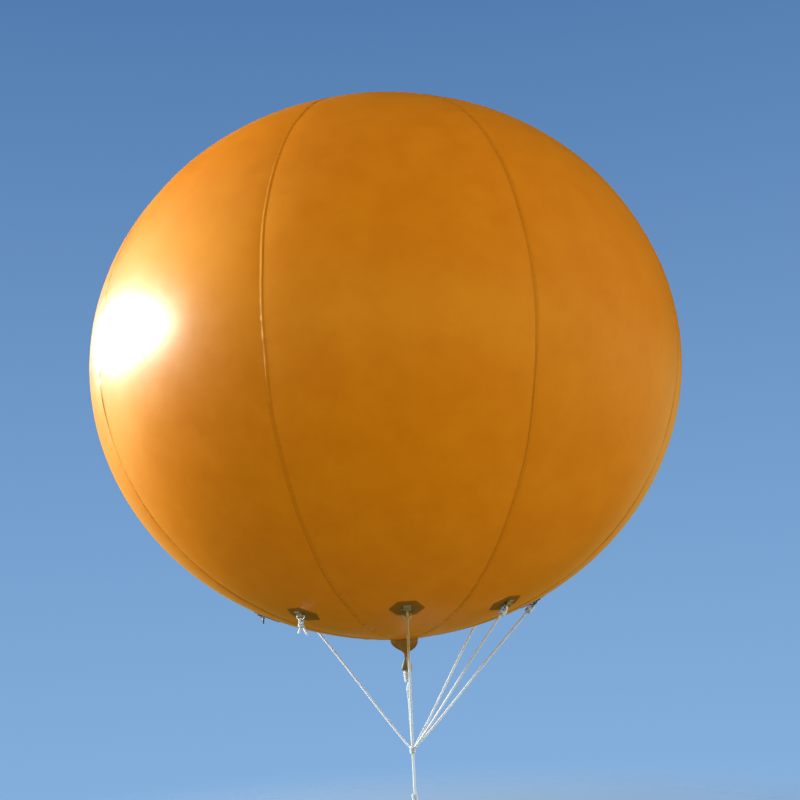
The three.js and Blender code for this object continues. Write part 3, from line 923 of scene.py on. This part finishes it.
def smooth_path(points, spacing):
    """Evenly spaced points on a smooth curve through the given ones."""
    points = np.array(points, float)
    marks = np.concatenate([[0], np.cumsum(np.linalg.norm(np.diff(points, axis=0), axis=1))])
    slopes = np.gradient(points, marks, axis=0)
    fine = []
    share = np.linspace(0, 1, CURVE_STEPS, endpoint=False)[:, None]
    for i, gap in enumerate(np.diff(marks)):
        fine.append(
            (2 * share**3 - 3 * share**2 + 1) * points[i]
            + (share**3 - 2 * share**2 + share) * gap * slopes[i]
            + (3 * share**2 - 2 * share**3) * points[i + 1]
            + (share**3 - share**2) * gap * slopes[i + 1]
        )
    fine = np.vstack(fine + [points[-1:]])
    lengths = np.concatenate([[0], np.cumsum(np.linalg.norm(np.diff(fine, axis=0), axis=1))])
    places = np.linspace(0, lengths[-1], max(2, round(lengths[-1] / spacing)) + 1)
    return np.column_stack([np.interp(places, lengths, fine[:, axis]) for axis in range(3)])


def strand_radius(angle, radius):
    """Distance from the rope's middle to its surface. Three round strands touch one another."""
    offset = STRAND_OFFSET * radius
    strand = STRAND_SIZE * radius
    sideways = offset * math.sin(angle)
    surface = offset * math.cos(angle) + math.sqrt(max(0, strand**2 - sideways**2))
    return max(DEEPEST_GROOVE * radius, surface)


def laid_rope(points, radius):
    """A rope of three strands along a path, thinner at its two ends, as a lofted shape."""
    path = smooth_path(points, ROPE_STEP * radius / LEG_RADIUS)
    turn_per_step = 2 * math.pi * ROPE_STEP / (LAY_IN_DIAMETERS * 2 * LEG_RADIUS)

    def section_at(number):
        from_end = min(number, len(path) - 1 - number)
        size = radius * (0.7 if from_end == 0 else 1)
        section = []
        for point in range(STRANDS * STRAND_POINTS):
            in_strand = (point % STRAND_POINTS) / STRAND_POINTS - 0.5
            distance = strand_radius(in_strand * 2 * math.pi / STRANDS, size)
            angle = 2 * math.pi * point / (STRANDS * STRAND_POINTS) + turn_per_step * number
            section.append((distance * math.cos(angle), distance * math.sin(angle)))
        return section

    return loft(swept(path, section_at))


def helix(centre, axis, first_way, radius, turns, rise):
    """Points of a coil about an axis, from a first direction. Radius is its start and end value."""
    axis = unit(axis)
    first_way = unit(first_way)
    second_way = np.cross(axis, first_way)
    count = round(turns * COIL_STEPS)
    points = []
    for number in range(count + 1):
        share = number / count
        angle = 2 * math.pi * turns * share
        size = radius[0] + (radius[1] - radius[0]) * share
        around = math.cos(angle) * first_way + math.sin(angle) * second_way
        points.append(centre + axis * rise * share + size * around)
    return points


def leg_points(station):
    """A leg from its own side of the bridle knot to its ring, round the bow and to its tail."""
    bar_middle, pull, bar_way, face_way = ring_frame(station)
    bow = bar_middle + RING_HEIGHT * pull
    down_leg = unit(KNOT_CENTRE - bow)
    away = unit(face_way - np.dot(face_way, down_leg) * down_leg)
    if away[2] > 0:
        away = -away
    loop = WIRE_RADIUS + LEG_RADIUS + ROPE_CLEARANCE
    wrap = 1.95 * LEG_RADIUS

    def beside(along, out, sideways=0.0):
        return bow + along * down_leg + out * away + sideways * bar_way

    level_way = unit((bow[0] - KNOT_CENTRE[0], bow[1], 0))
    points = [
        KNOT_CENTRE + np.array((0, 0, -12 * MM)) + 0.4 * LEG_SPREAD * level_way,
        KNOT_CENTRE + 0.8 * LEG_SPREAD * level_way,
        KNOT_CENTRE + LEG_SPREAD * level_way - 16 * MM * down_leg,
    ]
    points += [beside(along, 0) for along in (200 * MM, 60 * MM, 34 * MM, 14 * MM)]
    for turn in range(-20, 201, 22):
        angle = math.radians(turn)
        points.append(beside(-loop * math.sin(angle), loop * math.cos(angle)))
    start = beside(HITCH_START, 0)
    hitch_length = HITCH_TURNS * HITCH_PITCH
    points += helix(start, down_leg, -away, (wrap, wrap), HITCH_TURNS, hitch_length)
    radial = unit((bow[0], bow[1], 0))
    tail_way = unit(0.8 * radial + np.array((0, 0, -0.6)) - 0.6 * bar_way)
    points += [points[-1] + tail_way * FREE_TAIL * share for share in (0.3, 0.65, 1)]
    return points


white_rope = polyester_rope()
for station in range(1, GORE_COUNT + 1):
    if station not in FREE_BODIES:
        shape = laid_rope(leg_points(station), LEG_RADIUS)
        make_piece(f"leg_rope_{station}", [shape], white_rope, [f"bridle_leg_{station}"])


# Rope stub: at the left ring the leg is missing. A short end of the same rope is still knotted
# round the bow, and its two free ends hang spread apart below the ring.
STUB_STATION = 8
STUB_FORK = 9 * MM


def stub_points():
    bar_middle, pull, bar_way, face_way = ring_frame(STUB_STATION)
    bow = bar_middle + RING_HEIGHT * pull
    loop = WIRE_RADIUS + LEG_RADIUS + ROPE_CLEARANCE

    def beside(along, out, sideways=0.0):
        return bow + along * pull + out * face_way + sideways * bar_way

    short_end = [(37, 6, -20), (28, 6, -15), (19, 5, -6), (12, 4, 0)]
    points = [beside(*(MM * value for value in place)) for place in short_end]
    for turn in range(-10, 191, 20):
        angle = math.radians(turn)
        points.append(beside(-loop * math.sin(angle), loop * math.cos(angle)))
    points += helix(beside(STUB_FORK, 0), pull, -face_way, (loop, loop), 1.25, 7 * MM)
    long_end = [(20, 0, 10), (30, -2, 19), (42, -3, 29)]
    points += [beside(*(MM * value for value in place)) for place in long_end]
    return points


make_piece(
    "left_rope_stub",
    [laid_rope(stub_points(), LEG_RADIUS)],
    white_rope,
    ["rope_stub_8"],
    "left_ring",
)


# Bridle knot: the five legs and the neck's cord are gathered into one bundle, and a rope is wound
# tight round them. Its end is tucked in under the last turn.
KNOT_ROPE_RADIUS = 3.2 * MM
KNOT_TURNS = 3.4
KNOT_COIL_RADII = (7.6 * MM, 7 * MM)
KNOT_TOP = KNOT_CENTRE + np.array((0, 0, 8 * MM))
KNOT_RISE = -20 * MM
DOWN = np.array((0, 0, -1))


def knot_points():
    """The turns start and end inside the bundle, and widen in between."""
    start = [KNOT_TOP + np.array(step) * MM for step in ((0, 2, 3), (-2, 6, 1))]
    coil = helix(KNOT_TOP, -DOWN, (-0.4, 1, 0), KNOT_COIL_RADII, KNOT_TURNS, KNOT_RISE)
    inwards = unit(KNOT_CENTRE * (1, 1, 0) + coil[-1] * (0, 0, 1) - coil[-1])
    end = [coil[-1] + inwards * distance * MM + DOWN * distance * MM * 0.5 for distance in (3, 6)]
    return start + coil + end


make_piece(
    "bridle_knot_rope",
    [laid_rope(knot_points(), KNOT_ROPE_RADIUS)],
    white_rope,
    ["bridle_knot"],
)


# Tether tail: 10 mm rope of the same make. Its lower end is bent back into an eye for the ground
# line, and the two parts are bound together with waxed twine.
TETHER_RADIUS = 5 * MM
THROAT_Z = -1462 * MM
EYE_LENGTH = 92 * MM
EYE_HALF_WIDTH = 25 * MM
TWINE_RADIUS = 1.3 * MM
BINDING_TOP = THROAT_Z + 18 * MM
BINDING_TURNS = 13
BINDING_STEPS = 16
# Below 1 the turns are fuller at their corners than an ellipse
OVAL_POWER = 0.75
WAX_SIZE = 4.17 * MM
TWINE_TAN = "#cdbf98"
TWINE_BROWN = "#9c8a5c"
tether_x = KNOT_CENTRE[0]


# Waxed twine is smoother and yellower than the rope, with a low shine.
def waxed_twine():
    material, tree, shader, place = new_material("waxed_twine")
    tone, wax = clouded(tree, place, WAX_SIZE, (srgb(TWINE_TAN), srgb(TWINE_BROWN)))
    relief = add_node(
        tree,
        "ShaderNodeBump",
        inputs={"Height": wax, "Strength": 0.4, "Distance": 0.2 * MM},
    )
    look = {"Base Color": tone, "Normal": relief.outputs[0], "Roughness": 0.5}
    fill_inputs(tree, shader, look)
    return material


def tether_points():
    def around(across, down):
        return np.array((tether_x + across * EYE_HALF_WIDTH, 0, THROAT_Z - down * EYE_LENGTH))

    eye_side = ((0.21, 0), (0.42, 0.2), (0.85, 0.48), (0.92, 0.75), (0.5, 0.95))
    right = [around(across, down) for across, down in eye_side]
    left = [np.array((2 * tether_x - point[0], 0, point[2])) for point in reversed(right)]
    standing = [
        np.array((tether_x, 0, height * MM)) for height in (-1276, -1305, -1360, -1415)
    ]
    standing.append(np.array((tether_x + 0.2 * EYE_HALF_WIDTH, 0, BINDING_TOP)))
    end = [
        np.array((tether_x - 0.2 * EYE_HALF_WIDTH, 0, BINDING_TOP)),
        np.array((tether_x - 0.32 * EYE_HALF_WIDTH, 2 * MM, BINDING_TOP + 22 * MM)),
    ]
    return standing + right + [around(0, 1)] + left + end


def binding_points():
    """Twine close round both parts of the rope, wider across them than from front to back."""
    half_width = 2 * TETHER_RADIUS + TWINE_RADIUS
    half_depth = TETHER_RADIUS + TWINE_RADIUS
    points = []
    for number in range(BINDING_STEPS * BINDING_TURNS + 1):
        turns = number / BINDING_STEPS
        cosine = math.cos(2 * math.pi * turns)
        sine = math.sin(2 * math.pi * turns)
        across = math.copysign(abs(cosine) ** OVAL_POWER, cosine) * half_width
        depth = math.copysign(abs(sine) ** OVAL_POWER, sine) * half_depth
        height = BINDING_TOP - 3 * MM - 2 * TWINE_RADIUS * turns
        points.append((tether_x + across, depth, height))
    return points


twine = waxed_twine()
make_piece(
    "tether_rope", [laid_rope(tether_points(), TETHER_RADIUS)], white_rope, ["tether_tail"]
)
make_piece("eye_binding", [laid_rope(binding_points(), TWINE_RADIUS)], twine)


# Filling neck: a short tube of thin film welded into the neck disc. It is gathered to a narrow
# waist, so its wall stands in pleats, folded over on itself, and bound with rope.
WAIST_Z = -982
# Height, middle along X and radius of the sleeve in millimetres, from the neck disc to the waist
SLEEVE_SECTIONS = (
    (-919.5, 9, 45),
    (-923, 9, 46.5),
    (-928, 9, 46),
    (-934, 9.5, 44.5),
    (-942, 11, 40),
    (-950, 13, 32.5),
    (-957, 14, 22),
    (-963, 14, 12.5),
    (-969, 14, 8),
    (WAIST_Z, 13, 6.5),
)
SLEEVE_SIDES = 132
PLEATS = 11
# Height where the pleats start, and how far below it they are full, in millimetres
PLEAT_START = -926
PLEAT_REACH = 34
# Depth of the pleats as shares of the radius, where they start and by how much it grows
PLEAT_FAINT = 0.02
PLEAT_GROWTH = 0.42
CREASE_CLOUD_SIZE = 14.3 * MM
CREASE_SIZE = 11.1 * MM
# The neck's orange and brown are darker than the envelope's film as painted shade under the balloon
NECK_SHADED_ORANGE = "#b87c18"
NECK_SHADED_BROWN = "#7c5a12"
NECK_SHADED_OLIVE = "#6f7f48"
NECK_TAN = "#c9b27c"


# Thin film that has been gathered is creased and rubbed, and duller than the envelope. Its
# second colour is a darker painted shade, mixed in as soft clouds.
def creased_film(name, colour, shaded_colour):
    material, tree, shader, place = new_material(name)
    tone = clouded(
        tree, place, CREASE_CLOUD_SIZE, (srgb(colour), srgb(shaded_colour)), detail=5, roughness=0.6
    )[0]
    creases = add_node(
        tree,
        "ShaderNodeTexVoronoi",
        {"feature": "DISTANCE_TO_EDGE"},
        {"Vector": place, "Scale": 1 / CREASE_SIZE},
    )
    crease_edge = add_node(
        tree,
        "ShaderNodeMapRange",
        inputs={"Value": creases.outputs["Distance"], "From Max": 0.12},
    )
    relief = add_node(
        tree,
        "ShaderNodeBump",
        inputs={"Height": crease_edge.outputs[0], "Strength": 0.35, "Distance": 0.4 * MM},
    )
    look = {
        "Base Color": tone,
        "Normal": relief.outputs[0],
        "Roughness": 0.52,
        "IOR": PVC_IOR,
    }
    fill_inputs(tree, shader, look)
    return material


def pleated_radius(angle, radius, depth):
    """Pleats round a gathered tube. Depth is a share of its radius. Two waves vary their width."""
    uneven = angle + 0.22 * math.sin(2 * angle + 0.6) + 0.12 * math.sin(3 * angle + 2)
    return radius * (1 - depth / 2 + depth / 2 * math.sin(PLEATS * uneven))


def sleeve_loops():
    profile = smooth_path(SLEEVE_SECTIONS, 1.2)
    loops = []
    for height, middle, radius in profile:
        gathering = min(1, max(0, (PLEAT_START - height) / PLEAT_REACH))
        depth = PLEAT_FAINT + PLEAT_GROWTH * gathering**1.3
        loop = []
        for angle in np.linspace(0, 2 * math.pi, SLEEVE_SIDES, endpoint=False):
            size = pleated_radius(angle, radius, depth)
            loop.append((middle + size * math.cos(angle), size * math.sin(angle), height))
        loops.append(np.array(loop) * MM)
    return loops


neck_film = creased_film("gathered_neck_film", NECK_SHADED_ORANGE, NECK_SHADED_BROWN)
make_piece("neck_sleeve_film", [loft(sleeve_loops())], neck_film, ["neck_sleeve"])


# Neck tail: below the waist the flattened tube is folded up on itself. Its folded strip is pale
# tan, and beside it an open corner of the tube is painted dark olive as shade.
# Height, middle along X, half width and half depth in millimetres
STRIP_SECTIONS = (
    (-980, 13, 5.5, 5.5),
    (-986, 15, 6, 6.5),
    (-993, 18, 8, 8),
    (-1010, 20, 9.5, 9),
    (-1024, 20, 10, 8.5),
    (-1030, 18, 8.5, 7.5),
    (-1033, 14, 5.5, 5.5),
    (-1062, 13, 4.5, 4.5),
)
FLAP_SECTIONS = (
    (-981, 11, 3, 4),
    (-990, 9, 5, 5),
    (-1002, 6.5, 7.5, 5.5),
    (-1014, 4, 9.5, 5.5),
    (-1021, 3, 9.5, 4.5),
    (-1024, 5, 6, 3),
)
TAIL_ROWS = 48
TAIL_SIDES = 64
# Depth of the folds as a share of the tube's radius, and how far they turn for each millimetre
FOLD_DEPTH = 0.1
FOLD_DRIFT = 0.05


def folded_loops(sections, folds):
    """A flattened tube with a few upright folds in its wall."""
    heights = np.array([section[0] for section in sections], float)
    levels = np.linspace(heights[0], heights[-1], TAIL_ROWS)
    values = [np.interp(-levels, -heights, [section[i] for section in sections]) for i in (1, 2, 3)]
    loops = []
    for height, middle, half_width, half_depth in zip(levels, *values):
        loop = []
        for angle in np.linspace(0, 2 * math.pi, TAIL_SIDES, endpoint=False):
            fold = 1 - FOLD_DEPTH + FOLD_DEPTH * math.sin(folds * angle + FOLD_DRIFT * height)
            x = middle + half_width * fold * math.cos(angle)
            loop.append((x, half_depth * fold * math.sin(angle), height))
        loops.append(np.array(loop) * MM)
    return loops


tail_film = creased_film("folded_tail_film", NECK_TAN, NECK_SHADED_ORANGE)
# The flap's dark olive is painted shade, not the film's own colour
flap_film = creased_film("flap_painted_shade_film", NECK_SHADED_OLIVE, NECK_SHADED_BROWN)
strip = loft(folded_loops(STRIP_SECTIONS, 7))
make_piece("neck_tail_strip", [strip], tail_film, ["neck_tail"])
flap = loft(folded_loops(FLAP_SECTIONS, 5))
make_piece("neck_tail_flap", [flap], flap_film, ["neck_tail"])


# Neck wraps and cord: one rope is wound four and a half times round the folded neck, narrowing
# downwards, and its long end runs down to the bridle knot, so the gas can't pull the neck up.
WRAP_TOP = np.array((13, 0, -1032)) * MM
WRAP_TURNS = 4.5
WRAP_RADII = (9.3 * MM, 6.2 * MM)
WRAP_RISE = -29 * MM


def neck_cord_points():
    start = [WRAP_TOP + np.array(step) * MM for step in ((-4, 2, 6), (-8, 1, 3))]
    coil = helix(WRAP_TOP, -DOWN, (-1, -0.3, 0), WRAP_RADII, WRAP_TURNS, WRAP_RISE)
    below = WRAP_TOP + np.array((0, 0, WRAP_RISE))
    way = unit(KNOT_CENTRE - below)
    run = [below + way * distance * MM for distance in (14, 60, 150)]
    return start + coil + run + [KNOT_CENTRE + 8 * MM * way]


make_piece(
    "neck_cord_rope",
    [laid_rope(neck_cord_points(), LEG_RADIUS)],
    white_rope,
    ["neck_wraps", "neck_cord"],
)


# Floor: a pale matt disc just below the eye of the tether tail. It fades out into the backdrop
# towards its rim, and it is clear from below.
FLOOR_Z = -1570 * MM
FLOOR_RADIUS = 2.3
FLOOR_FADE_START = 0.3
FLOOR_PALE = "#86a8d2"


def floor_material():
    material, tree, shader, place = new_material("studio_floor")
    distance = add_node(tree, "ShaderNodeVectorMath", {"operation": "LENGTH"}, {0: place})
    fade = add_node(
        tree,
        "ShaderNodeMapRange",
        {"interpolation_type": "SMOOTHSTEP"},
        {
            "Value": distance.outputs["Value"],
            "From Min": FLOOR_FADE_START,
            "From Max": FLOOR_RADIUS,
        },
    )
    from_below = add_node(tree, "ShaderNodeNewGeometry").outputs["Backfacing"]
    hidden = add_node(
        tree, "ShaderNodeMath", {"operation": "MAXIMUM"}, {0: fade.outputs[0], 1: from_below}
    )
    clear = add_node(tree, "ShaderNodeBsdfTransparent")
    mixed = add_node(
        tree,
        "ShaderNodeMixShader",
        inputs={0: hidden.outputs[0], 1: shader.outputs[0], 2: clear.outputs[0]},
    )
    fill_inputs(tree, tree.nodes["Material Output"], {"Surface": mixed.outputs[0]})
    fill_inputs(tree, shader, {"Base Color": srgb(FLOOR_PALE), "Roughness": 0.9})
    return material


floor_mesh = bpy.data.meshes.new("floor")
rim = [
    (FLOOR_RADIUS * math.cos(math.radians(angle)), FLOOR_RADIUS * math.sin(math.radians(angle)), 0)
    for angle in range(0, 360, 5)
]
floor_mesh.from_pydata(rim, [], [list(range(len(rim)))])
floor_mesh.materials.append(floor_material())
floor = bpy.data.objects.new("floor", floor_mesh)
floor.location.z = FLOOR_Z
floor.visible_glossy = False
floor.visible_diffuse = False
bpy.context.scene.collection.objects.link(floor)


# Surroundings: the camera sees a plain backdrop, and matt surfaces get soft light from all round.
# The glossy film mirrors a darker room with a bright band low in front and a dimmer one behind.
# Glows widen the key light and lighten the right side.
KEY_DIRECTION = (-0.8774, 0.4092, 0.2504)
KEY_HALO_DIRECTION = (-0.754, 0.320, 0.574)
UPPER_HALO_DIRECTION = (-0.8529, -0.1504, 0.5)
RIGHT_GLOW_DIRECTION = (0.978, -0.191, -0.087)
FRONT = (0, -1, 0)
# Sine of the height above the horizon, and the light that comes from there
SOFT_LIGHT = (
    (-1, (0.25, 0.27, 0.23)),
    (-0.5, (0.29, 0.31, 0.27)),
    (-0.09, (0.46, 0.47, 0.49)),
    (0.02, (0.70, 0.71, 0.75)),
    (0.26, (0.72, 0.73, 0.77)),
    (0.7, (0.44, 0.43, 0.42)),
    (1, (0.32, 0.32, 0.32)),
)
MIRRORED_IN_FRONT = (
    (-1, (0.05, 0.05, 0.01)),
    (-0.06, (0.09, 0.09, 0.02)),
    (0.07, (0.85, 1.15, 0.25)),
    (0.28, (0.85, 1.15, 0.25)),
    (0.44, (0.10, 0.10, 0.02)),
    (1, (0.06, 0.06, 0.01)),
)
MIRRORED_BEHIND = (
    (-1, (0.05, 0.05, 0.01)),
    (-0.35, (0.13, 0.14, 0.02)),
    (-0.1, (0.46, 0.48, 0.17)),
    (0.06, (0.46, 0.48, 0.17)),
    (0.22, (0.12, 0.12, 0.02)),
    (1, (0.04, 0.04, 0.01)),
)
BACKDROP = ((-0.3, srgb("#90bce9")), (0.6, srgb("#3d69a1")))
# Direction, narrowness, strength and colour
SOFT_GLOWS = (
    (RIGHT_GLOW_DIRECTION, 4, 0.86, (1, 0.98, 0.6, 1)),
    (KEY_HALO_DIRECTION, 9, 1.3, (1, 0.97, 0.85, 1)),
)
MIRRORED_GLOWS = (
    (KEY_DIRECTION, 14, 5, (1, 1.05, 0.5, 1)),
    (UPPER_HALO_DIRECTION, 12, 4, (1, 0.92, 0.3, 1)),
)


def studio_world():
    world = bpy.data.worlds.new("studio")
    world.cycles.sampling_method = "NONE"
    world.use_nodes = True
    tree = world.node_tree
    tree.nodes.clear()
    direction = add_node(tree, "ShaderNodeTexCoord").outputs["Generated"]
    height = add_node(tree, "ShaderNodeSeparateXYZ", inputs={0: direction}).outputs["Z"]
    share = add_node(
        tree, "ShaderNodeMapRange", inputs={"Value": height, "From Min": -1, "From Max": 1}
    )

    def facing(way):
        """How nearly a direction points one way: 1 is straight at it, and 0 is square to it."""
        dot = add_node(
            tree, "ShaderNodeVectorMath", {"operation": "DOT_PRODUCT"}, {0: direction, 1: way}
        )
        clipped = add_node(
            tree, "ShaderNodeMath", {"operation": "MAXIMUM"}, {0: dot.outputs["Value"], 1: 0}
        )
        return clipped.outputs[0]

    def by_height(stops):
        """Light whose colour goes from stop to stop with the height that it comes from."""
        ramp = add_node(tree, "ShaderNodeValToRGB", inputs={"Fac": share.outputs[0]})
        elements = ramp.color_ramp.elements
        for element, (sine, colour) in zip(elements, (stops[0], stops[-1])):
            element.position = (sine + 1) / 2
            element.color = (*colour[:3], 1)
        for sine, colour in stops[1:-1]:
            elements.new((sine + 1) / 2).color = (*colour[:3], 1)
        made = add_node(tree, "ShaderNodeBackground", inputs={"Color": ramp.outputs["Color"]})
        return made.outputs[0]

    def glow(way, narrowness, strength, colour):
        narrowed = add_node(
            tree, "ShaderNodeMath", {"operation": "POWER"}, {0: facing(way), 1: narrowness}
        )
        scaled = add_node(
            tree, "ShaderNodeMath", {"operation": "MULTIPLY"}, {0: narrowed.outputs[0], 1: strength}
        )
        made = add_node(
            tree, "ShaderNodeBackground", inputs={"Color": colour, "Strength": scaled.outputs[0]}
        )
        return made.outputs[0]

    def with_glows(light, glows):
        for row in glows:
            made = add_node(tree, "ShaderNodeAddShader", inputs={0: light, 1: glow(*row)})
            light = made.outputs[0]
        return light

    def chosen(share_of_second, first, second):
        made = add_node(
            tree, "ShaderNodeMixShader", inputs={0: share_of_second, 1: first, 2: second}
        )
        return made.outputs[0]

    in_front = add_node(
        tree,
        "ShaderNodeMapRange",
        {"interpolation_type": "SMOOTHSTEP"},
        {"Value": facing(FRONT), "From Min": 0.25, "From Max": 0.75},
    )
    room = chosen(in_front.outputs[0], by_height(MIRRORED_BEHIND), by_height(MIRRORED_IN_FRONT))
    soft = with_glows(by_height(SOFT_LIGHT), SOFT_GLOWS)
    mirrored = with_glows(room, MIRRORED_GLOWS)
    ray = add_node(tree, "ShaderNodeLightPath").outputs
    lighting = chosen(ray["Is Glossy Ray"], soft, mirrored)
    both = chosen(ray["Is Camera Ray"], lighting, by_height(BACKDROP))
    add_node(tree, "ShaderNodeOutputWorld", inputs={"Surface": both})
    return world


bpy.context.scene.world = studio_world()
bpy.context.scene.view_settings.view_transform = "Standard"


# Lights: one big soft key light, low at the back left, gives the bright left side. Two more, which
# only show as reflections, make the white highlight there. They are bluish, because the film's own
# shine is yellow.
LIGHT_DISTANCE = 14
KEY_SIZE = (8, 2.6)
KEY_POWER = 2900
KEY_COLOUR = (1, 0.97, 0.92)
SHINE_COLOUR = (0.62, 0.76, 1)
# Direction, size and power
SHINES = (
    ((-0.8912, 0.3783, 0.2504), (11, 2.35), 3950),
    ((-0.9610, 0.1180, 0.2504), (8, 2.0), 2350),
)


def soft_light(name, direction, size, power, colour):
    lamp = bpy.data.lights.new(name, "AREA")
    lamp.shape = "ELLIPSE"
    lamp.size, lamp.size_y = size
    lamp.energy = power
    lamp.color = colour
    light = bpy.data.objects.new(name, lamp)
    light.location = Vector(direction) * LIGHT_DISTANCE
    light.rotation_mode = "QUATERNION"
    light.rotation_quaternion = Vector(direction).to_track_quat("Z", "Y")
    light.visible_camera = False
    bpy.context.scene.collection.objects.link(light)
    return light


key = soft_light("key", KEY_DIRECTION, KEY_SIZE, KEY_POWER, KEY_COLOUR)
key.visible_glossy = False
for direction, size, power in SHINES:
    shine = soft_light("shine", direction, size, power, SHINE_COLOUR)
    shine.visible_diffuse = False


# Camera: it stands below the balloon's middle and looks up at it, turned a little clockwise.
CAMERA_PLACE = Vector((-0.2122, -4.4143, -0.8479))
CAMERA_AIM = Vector((0.0563, 0.9848, 0.1643))
CAMERA_ROLL = -3.236
LENS = 58.54
SENSOR_WIDTH = 36

camera_data = bpy.data.cameras.new("camera")
camera_data.lens = LENS
camera_data.sensor_width = SENSOR_WIDTH
camera = bpy.data.objects.new("camera", camera_data)
camera.location = CAMERA_PLACE
camera.rotation_mode = "QUATERNION"
level = CAMERA_AIM.to_track_quat("-Z", "Y")
camera.rotation_quaternion = level @ Quaternion((0, 0, 1), math.radians(CAMERA_ROLL))
bpy.context.scene.collection.objects.link(camera)
bpy.context.scene.camera = camera
